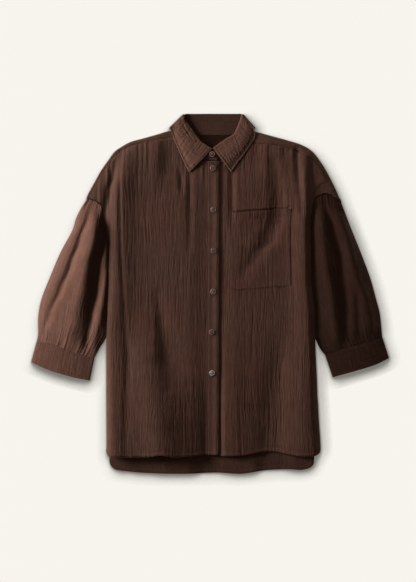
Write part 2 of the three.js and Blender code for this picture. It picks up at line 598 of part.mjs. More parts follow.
// The yoke lies across the back, turns over the shoulders and ends a little way down the fronts.
function yokeGrid() {
  const bend = (LOWEST_TOP - LYING) / 2;
  const neckAt = curveOf(BACK_NECK);
  const neckColumns = steps(6).slice(1, -1).map((t) => ({ edge: neckAt(t), seam: null }));
  const rightColumns = shoulderColumns(RIGHT_SHOULDER, RIGHT_YOKE_SEAM, RIGHT_NECK);
  const leftColumns = shoulderColumns(LEFT_SHOULDER, LEFT_YOKE_SEAM, LEFT_NECK).reverse();
  const columns = [...rightColumns, ...neckColumns, ...leftColumns];
  const armholes = [curveOf(RIGHT_ARMHOLE), curveOf(LEFT_ARMHOLE)];
  const crossing = armholes.map((curve) => steps(400).find((t) => curve(t).y >= BACK_YOKE_SEAM_Y));
  const foot = armholes.map((curve, i) => curve(crossing[i]));
  const levels = [0, 0.3, 0.6, 0.85, 1];
  const rows = [];
  levels.forEach((v) => rows.push(columns.map(({ edge, seam }, c) => {
    const u = c / (columns.length - 1);
    const inset = seam ? seam.clone().sub(edge).setLength(bend) : new THREE.Vector3();
    const tip = edge.clone().add(inset);
    const base = new THREE.Vector3(mix(foot[0].x, foot[1].x, u), BACK_YOKE_SEAM_Y, 0);
    const point = base.clone().lerp(tip, v);
    [0, 1].forEach((i) => {
      const near = ease(1 - Math.abs(u - i) / 0.2);
      const inset = (i === 0 ? -1 : 1) * (HIDDEN_INSET * (1 - v) + 0.9);
      const onSeam = beside(armholes[i], mix(crossing[i], 1, v), inset);
      const straight = foot[i].clone().setY(BACK_YOKE_SEAM_Y).lerp(armholes[i](1), v);
      point.add(onSeam.sub(straight).multiplyScalar(near));
    });
    return point.setZ(LYING);
  })));
  rows.push(columns.map(({ edge, seam }) => (seam
    ? edge.clone().setZ(LYING + bend) : edge.clone().add(new THREE.Vector3(0, 3, LYING)))));
  [0, 0.5, 1].forEach((t) => rows.push(columns.map(({ edge, seam }) => {
    if (!seam) return edge.clone().add(new THREE.Vector3(0, 6 + 3 * t, LYING));
    const run = seam.clone().sub(edge);
    const length = run.length() - 2 * SEAM_GAP;
    const p = edge.clone().add(run.setLength(mix(bend, length, t)));
    return p.setZ(t === 0 ? LOWEST_TOP : frontHeight(p.x, p.y));
  })));
  const neck = [rightColumns.length, rightColumns.length + neckColumns.length];
  return { grid: rows, has: (r, c) => r < levels.length - 1 || c < neck[0] - 1 || c >= neck[1] };
}

// A flat tube. Its rows run round it: over the top from the outer edge to the inner one, and back below.
function tubeGrid({ plan, topAt, across, along, thickness }) {
  const low = thickness / 2;
  const lowestTop = low + thickness + SEAM_GAP;
  const bend = (lowestTop - low) / 2;
  return along.map((v) => {
    const a = plan(0, v);
    const b = plan(1, v);
    const inset = bend / Math.hypot(b.x - a.x, b.y - a.y);
    const at = (u, z) => {
      const p = plan(u, v);
      return new THREE.Vector3(p.x, p.y, z);
    };
    const top = across.map((u) => at(u, lowestTop + topAt(u, v, plan(u, v))));
    const under = [0.78, 0.5, 0.22].map((u) => at(u, low));
    return [
      at(0, low + bend), at(inset, lowestTop), ...top, at(1 - inset, lowestTop),
      at(1, low + bend), at(1 - inset, low), ...under, at(inset, low),
    ];
  });
}

// Cross-section of a sleeve that lies a little round, highest nearer its outer edge.
const arch = (u) => Math.sin(Math.PI * u ** 0.85) ** 0.8;

function patch({ outer, inner, head, foot }) {
  return (u, v) => {
    const l = outer(v);
    const r = inner(v);
    const t = head(u);
    const b = foot(u);
    const read = (k) => mix(l[k], r[k], u) + (1 - v) * (t[k] - mix(outer(0)[k], inner(0)[k], u))
      + v * (b[k] - mix(outer(1)[k], inner(1)[k], u));
    return { x: read('x'), y: read('y') };
  };
}

// The sleeve's inner edge lies against the side of the body, then runs free to the cuff.
function innerEdge(sleeve, bodySide, side) {
  const top = bodySide[bodySide.length - 1].y - 1;
  const leaves = sleeve.freeInner[0].y + 12;
  const along = steps(10).map((t) => ({
    x: readAt(bodySide, mix(top, leaves, t), 'x') + side * SIDE_GAP, y: mix(top, leaves, t),
  }));
  return curveOf([...along, ...sleeve.freeInner]);
}

function sleeveParts(sleeve, armhole, bodySide, side) {
  const armholeAt = curveOf([...armhole].reverse());
  const seamAt = curveOf(sleeve.cuffSeam);
  const plan = patch({
    outer: curveOf(sleeve.outer), inner: innerEdge(sleeve, bodySide, side),
    head: (u) => beside(armholeAt, u, side * ARMHOLE_GAP), foot: seamAt,
  });
  const lowGathers = (u, v) => (
    0.9 * Math.sin(u * 62 + 1.4 * Math.sin(u * 9)) * ease((v - 0.82) / 0.16) * ease((1.02 - v) / 0.06)
  );
  const highGathers = (u, v) => 0.8 * Math.sin(u * 40) * ease((0.12 - v) / 0.1) * ease(v / 0.03);
  const sleeveGrid = tubeGrid({
    plan,
    thickness: CLOTH,
    across: [0.03, 0.07, 0.12, 0.18, 0.25, 0.32, 0.39, 0.46, 0.53, 0.6, 0.67, 0.74, 0.81, 0.87, 0.92, 0.96],
    along: [
      0, 0.03, 0.07, 0.12, 0.18, 0.24, 0.3, 0.36, 0.42, 0.48, 0.54, 0.6, 0.66, 0.72, 0.78, 0.83, 0.88, 0.92, 0.96, 1,
    ],
    topAt: (u, v, p) => {
      const edges = roll(u, 0.11) * roll(1 - u, 0.09);
      const ends = mix(0.3, 1, ease(v / 0.2)) * mix(0.45, 1, ease((1 - v) / 0.12));
      const folds = SLEEVE_ARCH * arch(u) + foldSum(SLEEVE_FOLDS, p.x, p.y);
      const relief = (folds * ends + lowGathers(u, v) + highGathers(u, v)) * edges;
      const level = (frontHeight(p.x, p.y) - LOWEST_TOP) * roll(u, 0.04);
      return above(0, mix(level, relief, ease(v / 0.13)), 0.5);
    },
  });
  const cuffHead = (u) => beside(seamAt, u, side * SEAM_GAP);
  const hemAt = curveOf(sleeve.cuffHem);
  const straight = (u) => (v) => cuffHead(u).lerp(hemAt(u), v);
  const cuffGrid = tubeGrid({
    plan: patch({ outer: straight(0), inner: straight(1), head: cuffHead, foot: hemAt }),
    thickness: BAND,
    across: [0.06, 0.18, 0.34, 0.5, 0.66, 0.82, 0.94],
    along: [0, 0.25, 0.5, 0.75, 1],
    topAt: (u) => CUFF_ARCH * arch(u),
  });
  return { sleeveGrid, cuffGrid };
}

// One half of the collar, from the centre back to the centre front. Columns run from the seam at the
// band, over the roll line and down the fall to its outer edge.
function collarSections(turn, leaf, backX) {
  const inner = new THREE.Vector3(turn.inner.x, turn.inner.y, 0);
  const outer = new THREE.Vector3(turn.outer.x, turn.outer.y, 0);
  const run = outer.clone().sub(inner);
  const inward = new THREE.Vector3(-run.y, run.x, 0).normalize();
  if (inward.y > 0) inward.negate();
  const onTurn = (q, inset, z) => (
    inner.clone().addScaledVector(run, q).addScaledVector(inward, inset).setZ(z)
  );
  const shares = [0, 0.22, 0.45, 0.7, 0.88, 1];
  const fallSections = [];
  const standSections = [];
  // Back: the fall lies on the surface under the part that shows
  backX.forEach(({ roll: rollX, edge: edgeX, edgeY }) => {
    const roll = inner.y;
    const seamY = roll - 16;
    fallSections.push([
      new THREE.Vector3(rollX, seamY, STAND_BACK), new THREE.Vector3(rollX, roll - 8, STAND_BACK + 0.3),
      new THREE.Vector3(rollX, roll - 1.2, STAND_BACK), new THREE.Vector3(rollX, roll, (STAND_BACK + LYING) / 2),
      ...shares.map((w) => new THREE.Vector3(mix(rollX, edgeX, w), mix(roll - 1.2, edgeY, w), LYING)),
    ]);
    standSections.push([0, 0.35, 0.7, 1].map((w) => new THREE.Vector3(
      mix(rollX, mix(rollX, edgeX, 0.7), w), mix(seamY - SEAM_GAP, edgeY, w), STAND_BACK,
    )));
  });
  // The slanting fold: the fall turns over outside, and the band inside it
  [-90, -45, 0, 45, 90].forEach((degrees) => {
    const angle = degrees * Math.PI / 180;
    const middle = LYING + FALL_BEND;
    const around = (q, radius) => (
      onTurn(q, FALL_BEND - radius * Math.cos(angle) + 0.4, middle + radius * Math.sin(angle))
    );
    const flap = (STAND_BACK - LYING) / 2;
    fallSections.push([
      around(0.4, STAND_BEND), around(0.22, STAND_BEND), around(0.06, STAND_BEND), around(0, FALL_BEND - flap),
      ...shares.map((w) => around(mix(0.05, 1, w), FALL_BEND)),
    ]);
    standSections.push([0, 0.35, 0.7, 1].map((w) => around(mix(0.42, 0.85, w), STAND_BEND)));
  });
  // Front: the leaf lies over the band, and its outer part on the front
  leaf.forEach((row) => {
    const rollPoint = new THREE.Vector3(row.rollX, row.rollY, 0);
    const edge = new THREE.Vector3(row.edgeX, row.edgeY, 0);
    const seam = new THREE.Vector3(row.seamX, row.seamY, STAND_FRONT);
    const under = rollPoint.clone().lerp(seam, 0.3).setZ(STAND_FRONT);
    const half = rollPoint.clone().lerp(seam, 0.65).setZ(STAND_FRONT);
    const turnZ = (STAND_FRONT + FALL_FRONT) / 2;
    const start = rollPoint.clone().addScaledVector(edge.clone().sub(rollPoint).normalize(), 1.2);
    fallSections.push([
      seam, half, under, rollPoint.clone().setZ(turnZ),
      ...shares.map((w) => {
        const p = start.clone().lerp(edge, w);
        const laid = frontHeight(p.x, p.y) + COLLAR_LIFT;
        const raised = FALL_FRONT + 0.8 * Math.sin(Math.PI * w);
        return p.setZ(mix(raised, Math.max(laid, 4.9), ease((w - 0.55) / 0.45)));
      }),
    ]);
  });
  const bandRow = (row) => [0, 0.35, 0.7, 1].map((w) => new THREE.Vector3(
    mix(row.topX, row.footX, w), mix(row.topY, row.footY, w), row.z,
  ));
  leaf.forEach((row) => standSections.push(bandRow(row)));
  return { fallSections, standSections, bandRow };
}

function collarParts() {
  const right = collarSections(RIGHT_TURN, RIGHT_LEAF, [
    { roll: 6, edge: 5, edgeY: 344 }, { roll: -20, edge: -24, edgeY: 344.5 },
    { roll: -42, edge: -54, edgeY: 347 },
    { roll: -52, edge: -73, edgeY: 352.5 },
  ]);
  const left = collarSections(LEFT_TURN, LEFT_LEAF, [
    { roll: 32, edge: 34, edgeY: 344.5 }, { roll: 54, edge: 64, edgeY: 347 },
    { roll: 65, edge: 83, edgeY: 352.5 },
  ]);
  return {
    fallGrid: [...right.fallSections.reverse(), ...left.fallSections],
    standGrid: [
      ...RIGHT_STAND_END.map(right.bandRow).reverse(), ...right.standSections.reverse(),
      ...left.standSections, ...LEFT_STAND_END.map(left.bandRow),
    ],
  };
}

// A straight band down the centre front.
function bandGrid(left, right, bottom, top, height) {
  const levels = steps(26).map((t) => mix(bottom, top, t));
  return levels.map((y) => [left, (left + right) / 2, right].map((x) => new THREE.Vector3(x, y, height(y))));
}

const bandHeight = (y) => BAND_HEIGHT + 0.35 * Math.sin(y / 31) * ease((250 - y) / 60);

function buttonGeometry() {
  const outline = new THREE.Shape().absarc(0, 0, BUTTON.radius, 0, 2 * Math.PI, false);
  for (let i = 0; i < 4; i += 1) {
    const angle = (i + 0.5) * Math.PI / 2;
    const x = BUTTON.holeRing * Math.cos(angle);
    const y = BUTTON.holeRing * Math.sin(angle);
    outline.holes.push(new THREE.Path().absarc(x, y, BUTTON.hole, 0, 2 * Math.PI, true));
  }
  const form = { depth: BUTTON.thickness, bevelEnabled: false, curveSegments: 10 };
  return new THREE.ExtrudeGeometry(outline, form);
}

function named(name, geometry, material) {
  const mesh = new THREE.Mesh(geometry, material);
  mesh.name = name;
  return mesh;
}

const cloth = (color) => (
  new THREE.MeshStandardMaterial({ color, roughness: 0.92, metalness: 0, side: THREE.DoubleSide })
);
const BROWN = 0x45302a;

const shirt = new THREE.Group();
shirt.name = 'cheesecloth_shirt';

const rightFrontGrid = frontGrid(RIGHT_FRONT_PLAN);
const band = bandGrid(BAND_LEFT, BAND_RIGHT, -345.5, BAND_TOP, bandHeight);
const underBand = bandGrid(BAND_LEFT + 1.5, BAND_RIGHT, -345, 284, () => LOWEST_TOP);
const leftFrontGrid = frontGrid(LEFT_FRONT_PLAN);
const yoke = yokeGrid();
const collar = collarParts();
const rightSleeve = sleeveParts(RIGHT_SLEEVE, RIGHT_ARMHOLE, RIGHT_SIDE, -1);
const leftSleeve = sleeveParts(LEFT_SLEEVE, LEFT_ARMHOLE, LEFT_SIDE, 1);

shirt.add(
  named('back', wallFrom(backGrid(), CLOTH), cloth(BROWN)),
  named('yoke', wallFrom(yoke.grid, CLOTH, { has: yoke.has }), cloth(BROWN)),
  named('front_right', wallFrom(rightFrontGrid, CLOTH), cloth(BROWN)),
  named('front_left', wallFrom(leftFrontGrid, CLOTH), cloth(BROWN)),
  named('button_band', wallFrom(band, BAND), cloth(BROWN)),
  named('under_band', wallFrom(underBand, CLOTH), cloth(BROWN)),
  named('pocket', wallFrom(pocketGrid(leftFrontGrid), CLOTH), cloth(BROWN)),
  named('collar_stand', wallFrom(collar.standGrid, BAND), cloth(BROWN)),
  named('collar', wallFrom(collar.fallGrid, CLOTH), cloth(BROWN)),
  named('sleeve_right', wallFrom(rightSleeve.sleeveGrid, CLOTH, { wrapped: true }), cloth(BROWN)),
  named('sleeve_left', wallFrom(leftSleeve.sleeveGrid, CLOTH, { wrapped: true }), cloth(BROWN)),
  named('cuff_right', wallFrom(rightSleeve.cuffGrid, BAND, { wrapped: true }), cloth(BROWN)),
  named('cuff_left', wallFrom(leftSleeve.cuffGrid, BAND, { wrapped: true }), cloth(BROWN)),
);

const plastic = new THREE.MeshStandardMaterial({ color: 0x8d7f7a, roughness: 0.35, metalness: 0 });
BUTTONS.forEach(({ x, y }, i) => {
  const seat = y > BAND_TOP ? STAND_FRONT + BAND / 2 : bandHeight(y) + BAND / 2;
  const button = named(`button_${i + 1}`, buttonGeometry(), plastic.clone());
  button.position.set(x, y, seat + 0.3);
  shirt.add(button);
});

export default shirt;
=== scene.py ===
"""Looks of the cheesecloth shirt: a crinkled cotton shirt laid flat on a pale floor, seen from above."""

import math

import bmesh
import bpy
import numpy as np
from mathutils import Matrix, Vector


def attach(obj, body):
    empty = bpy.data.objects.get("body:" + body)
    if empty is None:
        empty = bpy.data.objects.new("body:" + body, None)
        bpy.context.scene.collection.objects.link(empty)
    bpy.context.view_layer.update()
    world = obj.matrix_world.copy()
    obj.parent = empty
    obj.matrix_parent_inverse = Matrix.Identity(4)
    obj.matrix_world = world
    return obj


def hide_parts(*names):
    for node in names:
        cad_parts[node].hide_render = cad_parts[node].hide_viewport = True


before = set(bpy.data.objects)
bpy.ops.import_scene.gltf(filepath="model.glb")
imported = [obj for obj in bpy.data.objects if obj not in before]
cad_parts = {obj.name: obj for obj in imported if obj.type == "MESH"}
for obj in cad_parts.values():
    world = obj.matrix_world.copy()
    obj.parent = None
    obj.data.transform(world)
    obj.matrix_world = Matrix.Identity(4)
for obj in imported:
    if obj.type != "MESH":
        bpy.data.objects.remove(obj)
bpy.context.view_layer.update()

MM = 0.001

# Sizes, in millimetres, in the solids' frame
CLOTH, BAND = 1.2, 1.8       # thickness of one layer, and of a band made double
SKIN = 0.9                   # thickness of one layer as drawn, which leaves room for its crinkle
CUFF_SKIN, BAND_SKIN = 1.4, 1.5   # thickness of a cuff, and of the band and stand, as drawn
SEAM_GAP = 0.35              # between two pieces that are sewn together or lie on each other
SIDE_GAP = 1.2               # between a sleeve and the side that it lies beside
ARMHOLE_GAP = 0.8            # between a sleeve and its armhole
HIDDEN_INSET = 2.5           # how far the back's edges lie inside those of the fronts
LYING = CLOTH / 2            # middle of a layer that lies on the floor
LOWEST_TOP = CLOTH + SEAM_GAP + CLOTH / 2   # and of one that lies on another layer
FRONT_RISE = 0.55            # how far the middle of a front's skin lies above that of its solid's wall
SKIN_LYING = 0.55            # middle of a skin that lies on the floor
PUFF = 3.2                   # of the fronts over the back
SLEEVE_ARCH, CUFF_ARCH = 12, 6    # of their upper sides over the lower ones
SLEEVE_WEAVE, CUFF_WEAVE = (190, 330), (130, 45)   # width and length over which their weave runs
BAND_LEFT, BAND_RIGHT, BAND_TOP, BAND_HEIGHT = -6.6, 18.1, 285, 5.2   # the button band's edges and middle height
BAND_STITCH, HEM_STITCH, COLLAR_STITCH = 2.1, 7.6, 5.0   # from the edge to the stitching
POCKET_HEM = 28              # from the pocket's mouth to the stitching of its hem
BACK_YOKE_SEAM_Y = 196
BUTTONS = [(4.5, 299.5), (6.0, 269.5), (7.0, 181.0), (7.5, 93.0), (6.5, 5.0), (3.5, -82.0), (4.5, -170.0)]

RIGHT_SIDE = [(-223, -338), (-222, -327), (-222.5, -228), (-222.5, -99), (-221, -40), (-217.5, 27),
    (-217.5, 105), (-228.5, 167)]
LEFT_SIDE = [(237, -334), (232, -245), (230, -215), (225.5, -99), (225, -48), (217, 27), (215, 143), (219, 190)]
RIGHT_ARMHOLE = [(-228.5, 167), (-232.5, 186.5), (-241, 196), (-254, 202), (-265, 203.5)]
LEFT_ARMHOLE = [(219, 190), (229, 207), (243, 213), (259, 211.5), (282, 196)]
RIGHT_SHOULDER = [(-265, 204.2), (-263.5, 210), (-247.5, 240), (-233.5, 265), (-216, 290), (-205, 305),
    (-192.5, 314), (-172, 325.5), (-143.5, 333.5), (-112, 342.5), (-90, 349), (-76, 350.5)]
LEFT_SHOULDER = [(280.8, 197.6), (264, 235.5), (240.5, 278), (218, 306.5), (195, 320), (172, 327.5), (134, 338),
    (101, 347), (87, 350)]
BACK_NECK = [(-76, 350.5), (-58, 344.5), (5, 342), (68, 344.5), (87, 350)]
RIGHT_YOKE_SEAM = [(-261.5, 205), (-244.5, 237), (-213, 286), (-189.5, 308), (-150, 323), (-125, 329),
    (-90, 335), (-68, 337)]
LEFT_YOKE_SEAM = [(278, 200.5), (260, 233), (235, 273), (206, 296), (182.5, 307), (152, 317.5), (128, 321),
    (98, 323), (78, 326)]
RIGHT_NECK = [(-68, 337), (-58, 322), (-46, 305), (-30, 292), (-7, 285)]
LEFT_NECK = [(78, 326), (66, 312), (52, 299), (38, 290), (18.5, 284)]
RIGHT_HEM = [(-223, -338), (-217.5, -348), (-206, -350.5), (-172, -351.5), (-128, -349), (-104, -345.5),
    (-80, -350), (-35.5, -348), (-7, -345.5)]
LEFT_HEM = [(237, -334), (235, -341), (222, -348), (197.5, -348.5), (170, -344.5), (136, -338.5), (105, -341),
    (67.5, -347), (18.5, -348)]
BACK_HEM = [(-216, -352), (-215, -365), (-206, -376), (-172, -382), (-121, -385.5), (-52, -386.5), (16, -384),
    (67, -386.5), (119, -379), (170, -377), (198, -378), (215, -373), (222.5, -365), (222, -348)]
# Height of the back's hem where it shows: (x, height)
HEM_WAVES = [(-216, 0.3), (-200, 1.2), (-130, 1.6), (-95, 3.0), (-45, 3.1), (-14, 0.1), (10, 0.2), (34, 1.4),
    (70, 2.3), (92, 2.6), (118, 0.1), (150, 0.2), (185, 2.4), (222, 2.9)]
RIGHT_SLEEVE = {
    "outer": [(-265, 203.5), (-276, 186), (-287, 164), (-294, 140.5), (-320.5, 90), (-343.5, 36), (-362.5, -14),
        (-368.5, -48.5), (-369, -87), (-372, -102)],
    "free": [(-226.5, -100), (-236, -114), (-249, -138)],
    "seam": [(-372, -102), (-340, -108), (-293.5, -125), (-249, -138)],
    "hem": [(-383.8, -146), (-351, -161.5), (-293.5, -179), (-259, -186)],
}
LEFT_SLEEVE = {
    "outer": [(282, 196), (302, 143.5), (325, 85.5), (344.5, 32), (356, -10), (364, -41), (368.5, -83),
        (369.5, -93)],
    "free": [(229.5, -104), (237, -118), (248, -132)],
    "seam": [(369.5, -93), (344.5, -102), (298.5, -114), (248, -132)],
    "hem": [(383.8, -138), (357, -151), (325, -161.5), (264, -179)],
}

# The collar: radii at which the fall and the stand bend over, and the heights of their middles behind and in front
FALL_BEND, STAND_BEND = 3.165, 1.165
STAND_BACK = BAND / 2 + CLOTH + SEAM_GAP
STAND_FRONT = STAND_BACK + 2 * STAND_BEND
FALL_FRONT = LYING + 2 * FALL_BEND
COLLAR_LIFT = 1.9            # of a leaf's edge over the front's middle


def rows_of(keys, rows):
    return [dict(zip(keys, row)) for row in rows]


# Rows of a leaf, from behind to the tip: the points where it rolls, is sewn on and ends, then the stand's top and
# foot and the height of its middle
STAND_KEYS = ("top", "foot", "z")
LEAF_KEYS = ("roll", "seam", "edge") + STAND_KEYS
# Inner and outer end of the fold where the fall turns from the back to a leaf
RIGHT_TURN = ((-58, 386), (-88, 356.5))
LEFT_TURN = ((71, 386), (97.4, 356.5))
RIGHT_LEAF = rows_of(LEAF_KEYS, [
    ((-53, 373), (-59.5, 363), (-80, 338), (-60, 362), (-73, 347), 4.78),
    ((-40, 355), (-46.5, 347), (-70.5, 315), (-47, 346), (-60, 328.5), 4.78),
    ((-30.5, 341), (-34, 332), (-61, 293), (-34.5, 331), (-48, 313), 4.78),
    ((-19, 326.5), (-21, 320), (-53, 277), (-21.5, 319), (-36, 300), 4.78),
    ((-8, 319), (-7.5, 311.5), (-47, 265), (-8, 310.5), (-18, 291), 4.78),
    ((4.5, 311.5), (4.5, 308.4), (-44.3, 261), (4, 307.4), (2, 287.5), 4.78),
])
RIGHT_STAND_END = rows_of(STAND_KEYS, [
    ((13, 306), (13, 287.5), 4.78),
    ((17, 301), (17, 292), 4.78),
])
LEFT_LEAF = rows_of(LEAF_KEYS, [
    ((63.6, 369.6), (71, 362), (97, 336), (71.7, 361), (85.5, 344.5), 4.78),
    ((57, 353), (62, 345), (85, 315), (62.6, 344), (76, 326), 4.78),
    ((50.5, 342.5), (53, 335), (71, 296), (53.4, 334), (64, 312.5), 4.78),
    ((34, 331.7), (37, 324), (59, 280), (37.4, 323), (48.6, 301), 4.5),
    ((18, 321), (21, 313), (50, 267), (23, 311), (33, 291.5), 3),
    ((6, 311.5), (6, 308.4), (46.2, 261), (12, 306), (14, 287.5), 2.45),
])
LEFT_STAND_END = rows_of(STAND_KEYS, [
    ((0, 305), (0, 287.5), 2.45),
    ((-5, 301), (-5, 292), 2.45),
])

# Folds: (y, middle x, height, spread to the left, spread to the right) at places along each
FRONT_FOLDS = {
    "right side ridge": [(-345, -204, 6, 16, 36), (-230, -206, 5, 16, 34), (-99, -204, 3, 16, 24),
        (27, -200, 5, 16, 34), (105, -200, 5.5, 16, 36), (184, -198, 5.5, 12, 30), (255, -192, 5, 10, 26),
        (300, -186, 3, 8, 18)],
    "right shoulder trough": [(165, -226, -3, 7, 7), (225, -217, -5, 7, 7), (253, -208, -4.5, 7, 7),
        (280, -203, -2.5, 7, 7)],
    "right long groove": [(305, -190, -2.5, 5, 4), (250, -194, -2, 5, 4), (120, -192, -1.2, 5, 4),
        (-60, -183, -1, 6, 6), (-142, -176, -2, 9, 9), (-200, -178, -1.5, 9, 9), (-345, -180, -1, 9, 9)],
    "right hem billow": [(-50, -140, 1, 24, 34), (-142, -138, 3.5, 28, 32), (-207, -127, 4.5, 32, 38),
        (-271, -117, 5, 32, 40), (-345, -104, 5, 34, 40)],
    "right hem swell": [(-100, -130, 1, 60, 50), (-142, -128, 3.5, 66, 60), (-207, -117, 7, 80, 74),
        (-271, -110, 9, 90, 80), (-345, -104, 9, 90, 80)],
    "right middle trough": [(0, -112, -1.5, 12, 14), (-60, -104, -3, 12, 18), (-130, -96, -4, 14, 34),
        (-200, -84, -2, 20, 40)],
    "collar crease, outer": [(275, -66, -2, 6, 6), (250, -63, -3, 6, 6), (222, -60, -1, 6, 6)],
    "collar crease, inner": [(262, -44, -2.5, 6, 6), (190, -43, -2, 7, 7), (100, -44, -1, 7, 7)],
    "pocket crease": [(262, 46, -3, 6, 7), (190, 47, -2.5, 6, 7), (140, 47, -0.5, 6, 7)],
    "chest trough": [(285, 139, -2, 13, 13), (201, 147, -4.5, 16, 13), (160, 144, -4.5, 18, 14),
        (116, 128, -4.5, 18, 16), (86, 104, -2.5, 18, 16), (34, 66, -1, 16, 14)],
    "left shoulder trough": [(304, 187, -3, 7, 7), (245, 191, -3.5, 7, 7), (180, 196, -2, 7, 7)],
    "left side ridge": [(290, 204, 3.5, 16, 9), (215, 204, 6.5, 20, 9), (143, 202, 7.5, 24, 11),
        (27, 203, 7.5, 26, 11), (-48, 209, 7, 28, 12), (-228, 214, 6, 30, 13), (-345, 220, 5, 30, 13)],
    "left hem billow": [(-60, 34, 0.5, 12, 40), (-150, 34, 2, 12, 40), (-220, 34, 3.2, 12, 42),
        (-345, 34, 3.4, 12, 44)],
    "left hem trough": [(-100, 148, -1.5, 20, 16), (-142, 148, -3, 24, 18), (-196, 142, -4.5, 26, 22),
        (-260, 136, -5, 28, 26), (-345, 132, -5, 28, 28)],
    "left hem roll": [(-80, 188, 0.5, 30, 24), (-220, 190, 2.5, 36, 26), (-345, 190, 3.5, 38, 28)],
}
SLEEVE_FOLDS = {
    "right groove": [(200, -252, -3, 6, 7), (169, -259, -4, 7, 7), (116, -278.5, -5, 8, 8),
        (62, -298, -4.5, 8, 8), (8, -320, -4, 8, 8), (-41, -343, -2.5, 8, 8), (-95, -362, -1.5, 7, 7)],
    "right ridge": [(185, -239, 3.5, 12, 10), (116, -251, 5, 15, 14), (62, -266, 5.5, 17, 15),
        (8, -274, 5.5, 20, 16), (-46, -288, 4, 20, 16), (-110, -302, 2, 18, 16)],
    "right trough": [(175, -222, -2.5, 8, 5), (116, -228, -4, 12, 6), (62, -238, -5, 14, 8),
        (8, -244, -5.5, 13, 9), (-46, -254, -5, 11, 9), (-100, -264, -3.5, 10, 9), (-125, -268, -2, 10, 9)],
    "right inner ridge": [(40, -222, 2, 6, 6), (-20, -229, 2.5, 8, 7), (-46, -235, 2.5, 9, 8),
        (-112, -249, 1, 9, 7)],
    "left ridge": [(180, 236, 3, 9, 9), (79, 245, 5, 12, 12), (-28, 262, 5, 13, 12), (-110, 274, 3, 12, 12)],
    "left trough": [(205, 243, -3, 8, 8), (141, 264, -5, 10, 10), (79, 281, -6, 12, 11),
        (-28, 290, -6.5, 13, 14), (-100, 292, -4, 12, 12)],
    "left outer ridge": [(180, 276, 4, 10, 10), (98, 299, 5.5, 12, 11), (40, 314, 5.5, 13, 11),
        (-13, 334, 5, 13, 11), (-67, 343, 4, 13, 11), (-100, 346, 2, 13, 11)],
    "left inner groove": [(-10, 316, -2, 8, 7), (-60, 318, -3, 10, 8), (-105, 322, -1.5, 8, 8)],
}


# Helpers on arrays
def mix(a, b, t):
    return a + (b - a) * t


def ease(t):
    s = np.clip(t, 0, 1)
    return s * s * (3 - 2 * s)


def above(floor, height, softness=0.7):
    return floor + softness * np.log1p(np.exp(np.clip((height - floor) / softness, -40, 40)))


def roll(distance, width):
    return np.sqrt(1 - (1 - np.clip(distance / width, 0, 1)) ** 2)


def read_at(rows, y, column):
    """One column of a table, at heights y."""
    table = sorted(rows, key=lambda row: row[0])
    ys = np.array([row[0] for row in table], float)
    values = np.array([row[column] for row in table], float)
    y = np.asarray(y, float)
    k = np.clip(np.searchsorted(ys, y), 1, len(ys) - 1)
    t = np.clip((y - ys[k - 1]) / (ys[k] - ys[k - 1]), 0, 1)
    return mix(values[k - 1], values[k], 0.5 * ease(t) + 0.5 * t)


def side_x(side, y):
    return read_at([(py, px) for px, py in side], y, 1)


def fold_sum(folds, x, y):
    total = np.zeros(np.broadcast(x, y).shape)
    for rows in folds.values():
        low, high = min(r[0] for r in rows), max(r[0] for r in rows)
        fade = ease((y - low + 18) / 18) * ease((high + 18 - y) / 18)
        offset = x - read_at(rows, y, 1)
        spread = np.where(offset < 0, read_at(rows, y, 3), read_at(rows, y, 4))
        total = total + fade * read_at(rows, y, 2) * np.exp(-((offset / spread) ** 2))
    return total


def distance_to(rows, x, y):
    best = np.full(np.broadcast(x, y).shape, 1e9)
    for (ax, ay), (bx, by) in zip(rows, rows[1:]):
        t = np.clip(((x - ax) * (bx - ax) + (y - ay) * (by - ay)) / ((bx - ax) ** 2 + (by - ay) ** 2), 0, 1)
        best = np.minimum(best, np.hypot(x - mix(ax, bx, t), y - mix(ay, by, t)))
    return best


class Curve:
    """A smooth curve through an outline's points, read by the share of its length."""

    def __init__(self, rows):
        p = [np.array(r, float) for r in rows]
        dense = [p[0]]
        for i in range(len(p) - 1):
            p0 = p[i - 1] if i > 0 else 2 * p[0] - p[1]
            p3 = p[i + 2] if i + 2 < len(p) else 2 * p[-1] - p[-2]
            p1, p2 = p[i], p[i + 1]
            d = [max(np.linalg.norm(b - a) ** 0.5, 1e-4) for a, b in ((p0, p1), (p1, p2), (p2, p3))]
            m1 = ((p1 - p0) / d[0] - (p2 - p0) / (d[0] + d[1]) + (p2 - p1) / d[1]) * d[1]
            m2 = ((p2 - p1) / d[1] - (p3 - p1) / (d[1] + d[2]) + (p3 - p2) / d[2]) * d[1]
            for t in np.linspace(0, 1, 25)[1:]:
                dense.append(p1 + m1 * t + (-3 * p1 + 3 * p2 - 2 * m1 - m2) * t * t
                             + (2 * p1 - 2 * p2 + m1 + m2) * t ** 3)
        self.points = np.array(dense)
        run = np.concatenate([[0], np.cumsum(np.linalg.norm(np.diff(self.points, axis=0), axis=1))])
        self.length = run[-1]
        self.share = run / run[-1]

    def __call__(self, t):
        t = np.clip(t, 0, 1)
        return np.stack([np.interp(t, self.share, self.points[:, k]) for k in range(self.points.shape[1])], -1)

    def beside(self, t, distance):
        """Points to the left of the curve's run."""
        d = self(np.clip(np.asarray(t) + 0.01, 0, 1)) - self(np.clip(np.asarray(t) - 0.01, 0, 1))
        d = d / np.linalg.norm(d, axis=-1, keepdims=True)
        return self(t) + np.stack([-d[..., 1], d[..., 0]], -1) * np.asarray(distance)[..., None]


def graded(stops, cells):
    """Values from the first stop to the last, with so many equal steps between each two stops."""
    parts = [np.linspace(a, b, n + 1)[:-1] for a, b, n in zip(stops, stops[1:], cells)]
    return np.concatenate(parts + [stops[-1:]])


LATTICES = {}


